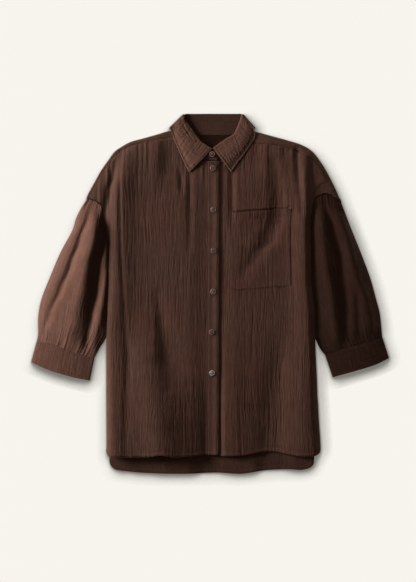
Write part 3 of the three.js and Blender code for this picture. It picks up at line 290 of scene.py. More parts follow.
def noise(seed, a, b):
    """Smooth value noise from -1 to 1."""
    if seed not in LATTICES:
        LATTICES[seed] = np.random.default_rng(seed).uniform(-1, 1, (256, 256))
    grid = LATTICES[seed]
    a, b = np.broadcast_arrays(np.asarray(a, float), np.asarray(b, float))
    ia, ib = np.floor(a).astype(int), np.floor(b).astype(int)
    fa, fb = ease(a - ia), ease(b - ib)
    at = lambda i, j: grid[i % 256, j % 256]
    return mix(mix(at(ia, ib), at(ia + 1, ib), fa), mix(at(ia, ib + 1), at(ia + 1, ib + 1), fa), fb)


def crinkle(u, v, seed, strength=1.0):
    """Height of the cloth's crinkle, in mm: irregular small pleats that run along v."""
    drift = 3.2 * noise(seed, u / 34, v / 90) + 0.7 * noise(seed + 1, u / 8, v / 30)
    across = u + drift
    sharp = 1 - 2.4 * np.abs(noise(seed + 2, across / 3.3, v / 62))
    second = 1 - 2.4 * np.abs(noise(seed + 3, across / 2.2, v / 24))
    broad = noise(seed + 4, across / 7, v / 150)
    patchy = 0.75 + 0.55 * noise(seed + 5, u / 30, v / 70)
    slow = 0.75 + 0.55 * noise(seed + 6, u / 36, v / 50)
    return strength * (0.19 * patchy * sharp + 0.20 * slow * second + 0.05 * broad)


# Surfaces
def front_height(x, y):
    """Middle of the front's wall, as in the solids."""
    right = x < 0
    top = np.where(right, RIGHT_SIDE[-1][1], LEFT_SIDE[-1][1])
    shoulder = np.where(right, distance_to(RIGHT_SHOULDER, x, y), distance_to(LEFT_SHOULDER, x, y))
    y_side = np.minimum(y, top)
    edge = np.where(right, np.abs(side_x(RIGHT_SIDE, y_side)), np.abs(side_x(LEFT_SIDE, y_side))) - np.abs(x)
    side_roll = mix(roll(np.maximum(edge, 0), 11), 1, ease((y - top + 25) / 40))
    band = ease((np.abs(x - 6) - 12) / 40)
    neck = 1 - ease((y - 235) / 45) * ease((125 - np.abs(x - 5)) / 40)
    puff = PUFF * mix(0.25, 1, band)
    relief = (puff + fold_sum(FRONT_FOLDS, x, y) * mix(0.3, 1, ease((np.abs(x - 6) - 12) / 16))) * neck
    return above(LOWEST_TOP, LOWEST_TOP + relief * side_roll * roll(shoulder, np.where(right, 56, 16)) + 0.35) + 0.1


def normals(grid, wrapped=False):
    """Unit normals of a grid of points, rows by columns."""
    if wrapped:
        across = np.roll(grid, -1, 1) - np.roll(grid, 1, 1)
    else:
        across = np.empty_like(grid)
        across[:, 1:-1] = grid[:, 2:] - grid[:, :-2]
        across[:, 0], across[:, -1] = grid[:, 1] - grid[:, 0], grid[:, -1] - grid[:, -2]
    along = np.empty_like(grid)
    along[1:-1] = grid[2:] - grid[:-2]
    along[0], along[-1] = grid[1] - grid[0], grid[-1] - grid[-2]
    n = np.cross(across, along)
    return n / np.maximum(np.linalg.norm(n, axis=-1, keepdims=True), 1e-9)


def cloth_mesh(name, grid, uv, thickness, material, wrapped=False, flip=False, keep=None, under=True):
    """A thin shell about a grid of points. uv holds millimetres across and along the weave.
    keep says which cells are drawn. Without under, the shell has no lower skin."""
    rows, columns = grid.shape[:2]
    n = normals(grid, wrapped) * (-1 if flip else 1)
    outer = grid + n * thickness / 2
    inner = grid - n * thickness / 2
    verts = np.concatenate([outer.reshape(-1, 3), inner.reshape(-1, 3)]) * MM
    count = rows * columns
    cells = columns if wrapped else columns - 1
    r, c = np.meshgrid(np.arange(rows - 1), np.arange(cells), indexing="ij")
    present = np.ones(r.shape, bool) if keep is None else keep(r, c)
    r, c = r[present], c[present]
    nc = (c + 1) % columns
    a, b, d, e = r * columns + c, r * columns + nc, (r + 1) * columns + nc, (r + 1) * columns + c
    top = np.stack([a, b, d, e], 1)
    faces = [top]
    # The wall of the rim stands on the edges that only one cell uses
    edges = np.concatenate([top[:, [0, 1]], top[:, [1, 2]], top[:, [2, 3]], top[:, [3, 0]]])
    key = np.sort(edges, 1)
    _, first, uses = np.unique(key, axis=0, return_index=True, return_counts=True)
    rim = edges[first[uses == 1]]
    if under:
        faces.append(np.stack([a, e, d, b], 1) + count)
    faces.append(np.stack([rim[:, 1], rim[:, 0], rim[:, 0] + count, rim[:, 1] + count], 1))
    faces = np.concatenate(faces)
    if flip:
        faces = faces[:, ::-1]
    mesh = bpy.data.meshes.new(name)
    mesh.from_pydata(verts.tolist(), [], faces.tolist())
    flat_uv = np.concatenate([uv.reshape(-1, 2)] * 2) * MM * 10
    layer = mesh.uv_layers.new(name="weave")
    loops = np.empty(len(mesh.loops), int)
    mesh.loops.foreach_get("vertex_index", loops)
    layer.data.foreach_set("uv", flat_uv[loops].ravel())
    mesh.materials.append(material)
    mesh.polygons.foreach_set("use_smooth", np.ones(len(mesh.polygons), bool))
    bm = bmesh.new()
    bm.from_mesh(mesh)
    loose = [v for v in bm.verts if not v.link_faces]
    bmesh.ops.delete(bm, geom=loose, context="VERTS")
    for edge in bm.edges:
        if len(edge.link_faces) == 2 and edge.calc_face_angle(0) > math.radians(60):
            edge.smooth = False
    bm.to_mesh(mesh)
    bm.free()
    return add_object(name, mesh)


def grid_of(x, y, z):
    return np.stack(np.broadcast_arrays(x, y, z), -1).astype(float)


def add_object(name, data):
    obj = bpy.data.objects.new(name, data)
    bpy.context.scene.collection.objects.link(obj)
    return obj


# Materials
def principled(name):
    material = bpy.data.materials.new(name)
    material.use_nodes = True
    tree = material.node_tree
    return material, tree, tree.nodes["Principled BSDF"]


def feed(tree, node, inputs):
    """Sets a node's inputs, each to a value or to another node's output."""
    for key, value in inputs.items():
        if isinstance(value, bpy.types.NodeSocket):
            tree.links.new(value, node.inputs[key])
        else:
            node.inputs[key].default_value = value


def math_node(tree, operation, *values):
    node = tree.nodes.new("ShaderNodeMath")
    node.operation = operation
    feed(tree, node, dict(enumerate(values)))
    return node.outputs[0]


def noise_texture(tree, vector, scale, detail=2):
    node = tree.nodes.new("ShaderNodeTexNoise")
    feed(tree, node, {"Vector": vector, "Scale": scale, "Detail": detail})
    return node.outputs["Fac"]


def stretched(tree, vector, scale):
    node = tree.nodes.new("ShaderNodeMapping")
    feed(tree, node, {"Vector": vector, "Scale": scale})
    return node.outputs["Vector"]


def two_tone(tree, factor, low, low_color, high, high_color):
    """A colour ramp between two colours."""
    node = tree.nodes.new("ShaderNodeValToRGB")
    for element, position, color in zip(node.color_ramp.elements, (low, high), (low_color, high_color)):
        element.position = position
        element.color = (*color, 1)
    feed(tree, node, {"Fac": factor})
    return node.outputs["Color"]


def bump(tree, height, strength, distance, normal=None):
    node = tree.nodes.new("ShaderNodeBump")
    feed(tree, node, {"Height": height, "Strength": strength, "Distance": distance})
    if normal:
        feed(tree, node, {"Normal": normal})
    return node.outputs["Normal"]


def cheesecloth(name, green, blue):
    """Brown cotton gauze. green and blue scale those two parts of its colour."""
    material, tree, shader = principled(name)
    uv_map = tree.nodes.new("ShaderNodeUVMap")
    uv_map.uv_map = "weave"
    uv = uv_map.outputs["UV"]
    # Long streaks, where some yarns are thicker and take more dye, and broad patches
    slub = noise_texture(tree, stretched(tree, uv, (95, 6, 1)), 1, 3)
    patches = math_node(tree, "MULTIPLY", noise_texture(tree, uv, 4), 0.35)
    dye = math_node(tree, "MULTIPLY_ADD", slub, 0.65, patches)
    dark, light = (0.078, 0.0318 * green, 0.0200 * blue), (0.140, 0.0650 * green, 0.0450 * blue)
    brown = two_tone(tree, dye, 0.28, dark, 0.74, light)
    # Some yarns and places are greener, some redder
    yarn_hue = noise_texture(tree, stretched(tree, uv, (45, 12, 1)), 1)
    hues = math_node(tree, "ADD", yarn_hue, noise_texture(tree, uv, 0.9))
    hue = two_tone(tree, math_node(tree, "MULTIPLY", hues, 0.5), 0.35, (1, 0.86, 0.84), 0.65, (0.92, 1, 1))
    tinted = tree.nodes.new("ShaderNodeMix")
    tinted.data_type = "RGBA"
    tinted.blend_type = "MULTIPLY"
    feed(tree, tinted, {0: 1.0, 6: brown, 7: hue})
    # Plain weave: two sets of yarns
    yarns = []
    for direction in ("X", "Y"):
        wave = tree.nodes.new("ShaderNodeTexWave")
        wave.wave_type = "BANDS"
        wave.bands_direction = direction
        feed(tree, wave, {"Vector": uv, "Scale": 56, "Distortion": 1.1, "Detail": 1})
        yarns.append(wave.outputs["Fac"])
    weave = bump(tree, math_node(tree, "MAXIMUM", *yarns), 0.35, 0.00025)
    # Finer crinkle than the mesh holds
    pucker = noise_texture(tree, stretched(tree, uv, (60, 7, 1)), 1, 3)
    feed(tree, shader, {
        "Base Color": tinted.outputs[2], "Roughness": 0.86, "Specular IOR Level": 0.22, "Sheen Weight": 0.12,
        "Sheen Roughness": 0.45, "Sheen Tint": (0.85, 0.68, 0.60, 1),
        "Normal": bump(tree, pucker, 0.5, 0.0009, weave)})
    return material


def thread_material():
    material, tree, shader = principled("brown thread")
    feed(tree, shader, {"Base Color": (0.10, 0.058, 0.045, 1), "Roughness": 0.7, "Specular IOR Level": 0.3})
    return material


CLOTH_MATERIAL = cheesecloth("brown cheesecloth", 1.06, 1.10)
WARM_CLOTH = cheesecloth("warmer cheesecloth", 1.01, 1.05)
THREAD = thread_material()

made = {}


def piece(name, obj, *nodes, slot="cloth"):
    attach(obj, "root")
    if nodes:
        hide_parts(*nodes)
    made[name] = obj


def cloth_piece(name, grid, thickness, *nodes, uv=None, material=CLOTH_MATERIAL, **shell):
    """Draws a piece of cloth that stands for the solids of the named nodes."""
    obj = cloth_mesh(name, grid, grid[..., :2] if uv is None else uv, thickness, material, **shell)
    piece(name, obj, *nodes)


# Fronts
def front_plan(side, armhole, yoke_seam, neck, hem, centre, tilt):
    """Maps shares to places on a front: u runs from the side to the centre, v from the hem, 0, past the foot of
    the armhole, 1, to the yoke's seam, 2."""
    foot = side[-1][1]
    armhole_at, top_at, hem_at = Curve(armhole), Curve(yoke_seam + neck[1:]), Curve(hem)
    top_ends = (np.array(armhole[-1], float), np.array(neck[-1], float))
    hem_ends = (np.array(hem[0], float), np.array(hem[-1], float))

    def plan(u, v):
        u, v = np.broadcast_arrays(u, v)
        lower, upper = np.clip(v, 0, 1), np.clip(v - 1, 0, 1)
        level = mix(side[0][1], foot, lower)
        on_seam = armhole_at(upper)
        outer_x = np.where(upper > 0, on_seam[..., 0], side_x(side, level))
        outer_y = np.where(upper > 0, on_seam[..., 1], level)
        inner_y = np.where(upper > 0, mix(foot - tilt, top_ends[1][1], upper),
                           mix(hem_ends[1][1], foot - tilt, lower))
        hem_share = 1 - ease(lower / 0.2)
        h, t = hem_at(u), top_at(u)
        x = mix(outer_x, centre, u) + hem_share * (h[..., 0] - mix(hem_ends[0][0], hem_ends[1][0], u)) \
            + upper * (t[..., 0] - mix(top_ends[0][0], top_ends[1][0], u))
        y = mix(outer_y, inner_y, u) + hem_share * (h[..., 1] - mix(hem_ends[0][1], hem_ends[1][1], u)) \
            + upper * (t[..., 1] - mix(top_ends[0][1], top_ends[1][1], u))
        return x, y

    return plan


# Where the pocket lies on the left front's plan
POCKET_SIDES = 0.226, 0.853
POCKET_FOOT, POCKET_MOUTH = 0.677, 0.992
RIGHT_SEED, LEFT_SEED = 11, 31
RIGHT_PLAN = front_plan(RIGHT_SIDE, RIGHT_ARMHOLE, RIGHT_YOKE_SEAM, RIGHT_NECK, RIGHT_HEM, -7, 0)
LEFT_PLAN = front_plan(LEFT_SIDE, LEFT_ARMHOLE, LEFT_YOKE_SEAM, LEFT_NECK, LEFT_HEM, 18.5, 14)


def hem_profile(distance):
    """A turned-up hem: a slightly raised strip with a row of stitching at its upper edge."""
    return 0.35 * ease((9 - distance) / 1.5) - 0.5 * np.exp(-((distance - HEM_STITCH) / 0.9) ** 2) \
        - 0.5 * ease((1.2 - distance) / 1.2)


def front_surface(x, y, seed):
    right, left = side_x(RIGHT_SIDE, np.minimum(y, 167)), side_x(LEFT_SIDE, np.minimum(y, 190))
    edge = np.abs(np.where(x < 0, right, left)) - np.abs(x)
    calm = 0.35 + 0.65 * ease(edge / 9)
    z = front_height(x, y) + FRONT_RISE + crinkle(x, y, seed) * calm
    # The left front lies lower beside the band
    z = z - 1.1 * ease((26 - x) / 6) * (x > 0)
    # The right front swells a little below its yoke seam
    inward = np.maximum(distance_to(RIGHT_SHOULDER, x, y) - 7, 0)
    near = np.exp(-(inward / 130) ** 2) * ease((-92 - x) / 30) * ease((y - 198) / 40)
    z = z + 2.6 * (1 - np.exp(-inward / 22)) * near
    return np.maximum(z, LOWEST_TOP)


def front(name, plan, seed):
    u = np.linspace(0, 1, 285) ** 1.12
    v = graded([0, 0.02, 0.972, 1, 1.06, 2], [8, 131, 14, 8, 48])
    uu, vv = np.meshgrid(u, v)
    x, y = plan(uu, vv)
    hem_y = plan(uu, np.zeros_like(vv))[1]
    z = front_surface(x, y, seed) + hem_profile(y - hem_y)
    # Gathers under the yoke seam fade out down the front
    seam_y = plan(uu, np.full_like(vv, 2))[1]
    below = seam_y - y
    gathers = 0.9 * noise(seed + 20, x / 5.5, y / 300) * np.exp(-below / 45) * ease(below / 4)
    z = z + gathers - 0.45 * ease((1.4 - below) / 1.4)
    left = name == "front_left"
    if left:
        # The front sags a little behind the pocket's mouth
        past = y - plan(uu, np.full_like(vv, POCKET_MOUTH))[1]
        span = ease((uu - 0.232) / 0.02) * ease((0.847 - uu) / 0.02)
        z = np.maximum(z - 1.9 * span * ease((5.5 - past) / 5) * ease((past + 24) / 18), LOWEST_TOP)
    material = WARM_CLOTH if left else CLOTH_MATERIAL
    cloth_piece(name, grid_of(x, y, z), SKIN, name, material=material, under=False, flip=left)


front("front_right", RIGHT_PLAN, RIGHT_SEED)
front("front_left", LEFT_PLAN, LEFT_SEED)


# Back
def back_piece():
    hem_at = Curve(BACK_HEM)
    top = BACK_YOKE_SEAM_Y - SEAM_GAP
    right_side = [(px + HIDDEN_INSET, min(py, top)) for px, py in RIGHT_SIDE + [RIGHT_ARMHOLE[2]]]
    left_side = [(px - HIDDEN_INSET, py) for px, py in LEFT_SIDE + [LEFT_ARMHOLE[0]]]
    left_side[-1] = (left_side[-1][0], top)
    first, last = BACK_HEM[0], BACK_HEM[-1]
    v = graded([0, 0.11, 1], [33, 59])
    u = graded([0, 0.06, 0.94, 1], [11, 189, 11])
    uu, vv = np.meshgrid(u, v)
    a_y, b_y = mix(first[1], top, vv), mix(last[1], top, vv)
    a_x, b_x = side_x(right_side, a_y), side_x(left_side, b_y)
    share = 1 - ease(vv / 0.25)
    p = hem_at(uu)
    x = mix(a_x, b_x, uu) + share * (p[..., 0] - mix(a_x, b_x, uu)) * ease(1 - vv / 0.05)
    y = mix(a_y, b_y, uu) + share * (p[..., 1] - mix(first[1], last[1], uu))
    showing = ease((-345 - y) / 5)
    distance = distance_to(BACK_HEM, x, y)
    shape = crinkle(x, y, 51, 0.7) + read_at(HEM_WAVES, x, 1) + hem_profile(distance)
    edge = ease(np.minimum(uu, 1 - uu) / 0.02)
    z = SKIN_LYING + showing * np.clip(shape, 0, 3.2) * edge
    cloth_piece("back", grid_of(x, y, z), SKIN, "back")


back_piece()


# Yoke
SHOULDER_COLUMNS, NECK_COLUMNS = 110, 40


def shoulder_ends(shoulder, yoke_seam, neck):
    """Points along a shoulder's edge, and those on the yoke's seam below them."""
    top_at, shoulder_at = Curve(yoke_seam + neck[1:]), Curve(shoulder)
    t = np.linspace(0, 1, 2001)
    corner = t[np.argmin(np.linalg.norm(top_at(t) - np.array(neck[0]), axis=1))]
    shares = np.linspace(0, corner, SHOULDER_COLUMNS)
    return shoulder_at(shares / corner), top_at(shares)


def yoke_piece():
    bend = (LOWEST_TOP - LYING) / 2
    right_edge, right_seam = shoulder_ends(RIGHT_SHOULDER, RIGHT_YOKE_SEAM, RIGHT_NECK)
    left_edge, left_seam = shoulder_ends(LEFT_SHOULDER, LEFT_YOKE_SEAM, LEFT_NECK)
    neck = Curve(BACK_NECK)(np.linspace(0, 1, NECK_COLUMNS + 2)[1:-1])
    edge = np.concatenate([right_edge, neck, left_edge[::-1]])
    seam = np.concatenate([right_seam, neck, left_seam[::-1]])
    shoulder_columns = np.repeat([True, False, True], [SHOULDER_COLUMNS, NECK_COLUMNS, SHOULDER_COLUMNS])
    count = len(edge)
    u = np.arange(count) / (count - 1)
    armholes = [Curve(RIGHT_ARMHOLE), Curve(LEFT_ARMHOLE)]
    t = np.linspace(0, 1, 401)
    crossing = [t[np.argmax(curve(t)[:, 1] >= BACK_YOKE_SEAM_Y)] for curve in armholes]
    foot = [curve(c) for curve, c in zip(armholes, crossing)]
    run = seam - edge
    length = np.linalg.norm(run, axis=1, keepdims=True)
    way = run / np.maximum(length, 1e-6)
    tip = edge + way * np.where(shoulder_columns, bend, 0)[:, None]
    tip[~shoulder_columns, 1] += 1.6
    rows = []
    for v in graded([0, 0.6, 1], [7, 21]):
        base = np.stack([mix(foot[0][0], foot[1][0], u), np.full(count, BACK_YOKE_SEAM_Y)], 1)
        point = mix(base, tip, v)
        for i, outward in enumerate((-1, 1)):
            near = ease(1 - np.abs(u - i) / 0.2)[:, None]
            on_seam = armholes[i].beside(mix(crossing[i], 1, v), outward * (HIDDEN_INSET * (1 - v) + 0.9))
            straight = mix(np.array([foot[i][0], BACK_YOKE_SEAM_Y]), armholes[i](1), v)
            point = point + (on_seam - straight) * near
        x, y = point.T
        inside = ease((85 - np.abs(x - 5)) / 20) * ease((y - 285) / 15) * ease((338 - y) / 6)
        z = SKIN_LYING + inside * np.clip(0.35 + crinkle(y, x, 61, 0.6), 0, 0.8)
        rows.append(np.column_stack([point, z]))
    back_rows = len(rows)
    for angle in (35, 90, 145):
        a = math.radians(angle)
        p = edge + way * (bend * (1 - math.sin(a)))
        rows.append(np.column_stack([p, np.full(count, LYING + bend - bend * math.cos(a))]))
    for t in np.linspace(0, 1, 16):
        distance = mix(bend, length - 2 * SEAM_GAP, t)
        p = edge + way * distance
        x, y = p.T
        z = LOWEST_TOP if t == 0 else front_height(x, y) + 0.35
        gap = np.maximum(length[:, 0] - distance[:, 0], 0)
        # Folded seam edge with two rows of stitching
        seam_shape = 0.35 * (ease((7 - gap) / 1.5) - np.exp(-((gap - 2.2) / 0.8) ** 2) - ease(1.2 - gap))
        relief = crinkle(y, x, 63, 0.55) * ease(distance[:, 0] / 6) + seam_shape * ease(length[:, 0] / 14)
        z = z + relief * ease(t * 6)
        rows.append(np.column_stack([p, np.broadcast_to(z, x.shape)]))
    grid = np.stack(rows)
    grid[back_rows:, ~shoulder_columns, 1] += np.linspace(3, 9, len(rows) - back_rows)[:, None]
    uv = grid[..., [1, 0]]
    cloth_piece("yoke_back", grid, SKIN, uv=uv, keep=lambda r, c: r < back_rows - 1)
    left_start = SHOULDER_COLUMNS + NECK_COLUMNS
    on_front = lambda r, c: (r >= back_rows - 1) & ((c < SHOULDER_COLUMNS - 1) | (c >= left_start))
    cloth_piece("yoke", grid, SKIN, "yoke", uv=uv, keep=on_front)


yoke_piece()


# Sleeves and cuffs
def arch(u):
    """Cross-section of a sleeve that lies a little round."""
    return np.sin(np.pi * np.clip(u, 0, 1) ** 0.85) ** 0.8


def patch(outer, inner, head, foot):
    """A patch between four curves: two down its sides, one across its top and one across its foot."""
    def plan(u, v):
        u, v = np.broadcast_arrays(u, v)
        u, v = u[..., None], v[..., None]
        left, right = outer(v[..., 0]), inner(v[..., 0])
        top = head(u[..., 0]) - mix(outer(0.0), inner(0.0), u)
        bottom = foot(u[..., 0]) - mix(outer(1.0), inner(1.0), u)
        return mix(left, right, u) + (1 - v) * top + v * bottom
    return plan


def tube(plan, top_at, across, along, thickness, detail_at):
    """Grid of a flat tube: over the top from the outer edge to the inner one, and back below."""
    low = thickness / 2
    lowest_top = low + thickness + SEAM_GAP
    bend = (lowest_top - low) / 2
    top = slice(3, 3 + len(across))
    rows = []
    for v in along:
        a, b = plan(0.0, v), plan(1.0, v)
        inset = bend / np.linalg.norm(b - a)
        below = [1 - inset, 1 - inset * 0.3, 1, 1 - inset, 0.78, 0.5, 0.22, inset]
        p = plan(np.concatenate([[0, inset * 0.3, inset], across, below]), v)
        z = np.full(len(p), low)
        z[:3] = low + bend, low + bend * 1.7, lowest_top
        z[top] = lowest_top + top_at(across, v, p[top]) + detail_at(across, v)
        z[top.stop:top.stop + 3] = lowest_top, low + bend * 1.7, low + bend
        rows.append(np.column_stack([p, z]))
    return np.stack(rows)


def tube_uv(across, along, weave):
    u = np.concatenate([[0, 0.004, 0.01], across, [0.99, 0.996, 1, 1.01, 1.22, 1.5, 1.78, 1.99]])
    return np.stack(np.meshgrid(u * weave[0], along * weave[1]), -1)


def sleeve_pieces(label, sleeve, armhole, body_side, side, seed):
    armhole_at, seam_at = Curve(armhole[::-1]), Curve(sleeve["seam"])
    top, leaves = body_side[-1][1] - 1, sleeve["free"][0][1] + 12
    ys = mix(top, leaves, np.linspace(0, 1, 11))
    inner = Curve([(x - side * SIDE_GAP, y) for x, y in zip(side_x(body_side, ys), ys)] + sleeve["free"])
    outer = Curve(sleeve["outer"])
    plan = patch(outer, inner, lambda u: armhole_at.beside(u, side * ARMHOLE_GAP), seam_at)

    def top_at(u, v, p):
        edges = roll(u, 0.11) * roll(1 - u, 0.09)
        ends = mix(0.3, 1, ease(v / 0.2)) * mix(0.45, 1, ease((1 - v) / 0.12))
        relief = (SLEEVE_ARCH * arch(u) + fold_sum(SLEEVE_FOLDS, p[..., 0], p[..., 1])) * edges * ends
        level = (front_height(p[..., 0], p[..., 1]) - LOWEST_TOP) * roll(u, 0.04)
        return above(0, mix(level, relief, ease(v / 0.13)), 0.5)

    def detail_at(u, v):
        edges = ease(np.minimum(u, 1 - u) / 0.05)
        width, run = SLEEVE_WEAVE[0] * u, SLEEVE_WEAVE[1] * v
        # Gathers above the cuff, longest in the middle, and short ones at the armhole
        starts = 0.72 + 0.1 * noise(seed + 8, u * 30, 0)
        low_end = 1.52 * (noise(seed + 7, u * 34, 0.4) ** 2 - 0.2) * ease((v - starts) / 0.26)
        high_end = 0.6 * noise(seed + 9, u * 24, 0.2) * ease((0.16 - v) / 0.14)
        seam = -0.2 * ease((0.006 - v) / 0.006) - 0.7 * ease((v - 0.988) / 0.012)
        return (0.45 + crinkle(width, run, seed, 0.85) + low_end + high_end) * edges + seam

    across = graded([0.02, 0.1, 0.9, 0.98], [13, 117, 13])
    along = graded([0, 0.04, 0.96, 1], [6, 87, 7])
    grid = tube(plan, top_at, across, along, SKIN, detail_at)
    cloth_piece(f"sleeve_{label}", grid, SKIN, f"sleeve_{label}", uv=tube_uv(across, along, SLEEVE_WEAVE),
                wrapped=True, flip=side > 0)

    hem_at = Curve(sleeve["hem"])
    head = lambda u: seam_at.beside(u, side * SEAM_GAP)

    def straight(u):
        u = np.asarray(u, float)
        return lambda v: mix(head(u), hem_at(u), np.asarray(v)[..., None])

    cuff_plan = patch(straight(0.0), straight(1.0), head, hem_at)
    across = np.linspace(0.02, 0.98, 150)
    along = graded([0, 0.14, 0.86, 1], [8, 31, 8])
    width, length = CUFF_WEAVE

    def cuff_top(u, v, p):
        return CUFF_ARCH * arch(u)

    def cuff_detail(u, v):
        edges = ease(np.minimum(u, 1 - u) / 0.05)
        stitch = -0.35 * (math.exp(-((v - 0.07) / 0.018) ** 2) + math.exp(-((v - 0.93) / 0.018) ** 2))
        rim = -0.5 * ease((0.03 - min(v, 1 - v)) / 0.03)
        shape = crinkle(length * v, width * u, seed + 40, 1.15) + crinkle(width * u, length * v, seed + 44, 0.75)
        return (shape + stitch) * edges + rim

    grid = tube(cuff_plan, cuff_top, across, along, CUFF_SKIN, cuff_detail)
    cloth_piece(f"cuff_{label}", grid, CUFF_SKIN, f"cuff_{label}", uv=tube_uv(across, along, CUFF_WEAVE),
                wrapped=True, flip=side > 0)


sleeve_pieces("right", RIGHT_SLEEVE, RIGHT_ARMHOLE, RIGHT_SIDE, -1, 71)
sleeve_pieces("left", LEFT_SLEEVE, LEFT_ARMHOLE, LEFT_SIDE, 1, 91)


def seam_allowance(name, seam, height, margin=0.0):
    """The turned-in edges of a seam, which lie between the layers. They are narrower at its ends."""
    t = np.linspace(margin, 1 - margin, 60)
    curve = Curve(seam)
    narrow = mix(1, 0.2, ease((np.abs(t - 0.5) - 0.42) / 0.08))
    rows = [np.column_stack([curve.beside(t, offset * narrow), np.full(len(t), height)])
            for offset in np.linspace(-5, 5, 7)]
    cloth_piece(name, np.stack(rows), 0.3)


seam_allowance("armhole_seam_right", RIGHT_ARMHOLE, 1.5)
seam_allowance("armhole_seam_left", LEFT_ARMHOLE, 1.5)
seam_allowance("cuff_seam_right", RIGHT_SLEEVE["seam"], 1.8, 0.03)
seam_allowance("cuff_seam_left", LEFT_SLEEVE["seam"], 1.8, 0.03)


# Collar
def refine(grid, along, across):
    """Smooth finer grid through a coarse one. along and across say how many steps each cell is cut into."""
    def lengthen(points, cuts):
        first = 2 * points[:1] - points[1:2]
        last = 2 * points[-1:] - points[-2:-1]
        p = np.concatenate([first, points, last])
        out = []
        for i in range(1, len(p) - 2):
            for t in np.arange(cuts) / cuts:
                m1, m2 = (p[i + 1] - p[i - 1]) / 2, (p[i + 2] - p[i]) / 2
                out.append((2 * t ** 3 - 3 * t * t + 1) * p[i] + (t ** 3 - 2 * t * t + t) * m1
                           + (3 * t * t - 2 * t ** 3) * p[i + 1] + (t ** 3 - t * t) * m2)
        out.append(p[-2])
        return np.stack(out)
    fine = lengthen(grid, along)
    return np.swapaxes(lengthen(np.swapaxes(fine, 0, 1), across), 0, 1)


def lengths(grid, column):
    """The way along one column of a grid, the way across each row, and both as a map of the weave."""
    line = grid[:, column]
    run = np.cumsum(np.linalg.norm(np.diff(line, axis=0, prepend=line[:1]), axis=1))[:, None]
    depth = np.cumsum(np.linalg.norm(np.diff(grid, axis=1, prepend=grid[:, :1]), axis=2), axis=1)
    return run, depth, np.stack(np.broadcast_arrays(run, depth), -1)


def v3(x, y, z):
    return np.array([x, y, z], float)


STAND_SHARES = (0, 0.35, 0.7, 1)


def stand_row(row):
    top, foot = v3(*row["top"], row["z"]), v3(*row["foot"], row["z"])
    return [mix(top, foot, w) for w in STAND_SHARES]


def collar_sections(turn, leaf, back):
    """Rows of points across the fall and the stand, from behind the neck round the turn to the leaf's tip."""
    inner, outer = v3(*turn[0], 0), v3(*turn[1], 0)
    run = outer - inner
    inward = v3(-run[1], run[0], 0) / np.linalg.norm(run)
    if inward[1] > 0:
        inward = -inward
    shares = [0, 0.22, 0.45, 0.7, 0.88, 1]
    fall, stand = [], []
    for roll_x, edge_x, edge_y in back:
        seam_y = inner[1] - 16
        fall.append([v3(roll_x, seam_y, STAND_BACK), v3(roll_x, inner[1] - 8, STAND_BACK + 0.3),
                     v3(roll_x, inner[1] - 1.2, STAND_BACK), v3(roll_x, inner[1], (STAND_BACK + LYING) / 2)]
                    + [v3(mix(roll_x, edge_x, w), mix(inner[1] - 1.2, edge_y, w), LYING) for w in shares])
        stand.append([v3(mix(roll_x, mix(roll_x, edge_x, 0.7), w), mix(seam_y - SEAM_GAP, edge_y - 3, w), STAND_BACK)
                      for w in STAND_SHARES])
    for degrees in (-90, -45, 0, 45, 90):
        angle = math.radians(degrees)
        middle = LYING + FALL_BEND

        def around(q, radius):
            p = inner + run * q + inward * (FALL_BEND - radius * math.cos(angle) + 0.4)
            return v3(p[0], p[1], middle + radius * math.sin(angle))

        flap = (STAND_BACK - LYING) / 2
        fall.append([around(q, STAND_BEND) for q in (0.4, 0.22, 0.06)] + [around(0, FALL_BEND - flap)]
                    + [around(mix(0.05, 1, w), FALL_BEND) for w in shares])
        stand.append([around(mix(0.42, 0.85, w), STAND_BEND) for w in STAND_SHARES])
    for row in leaf:
        roll_point, edge = v3(*row["roll"], 0), v3(*row["edge"], 0)
        seam = v3(*row["seam"], STAND_FRONT)
        under, half = mix(roll_point, seam, 0.3), mix(roll_point, seam, 0.65)
        under[2] = half[2] = STAND_FRONT
        turn_point = roll_point.copy()
        turn_point[2] = (STAND_FRONT + FALL_FRONT) / 2
        start = roll_point + (edge - roll_point) / np.linalg.norm(edge - roll_point) * 1.2
        points = []
        for w in shares:
            p = mix(start, edge, w)
            laid = float(front_height(np.array(p[0]), np.array(p[1]))) + COLLAR_LIFT
            p[2] = mix(FALL_FRONT + 0.8 * math.sin(math.pi * w), max(laid, 4.9), float(ease((w - 0.55) / 0.45)))
            points.append(p)
        fall.append([seam, half, under, turn_point] + points)
        stand.append(stand_row(row))
    return fall, stand


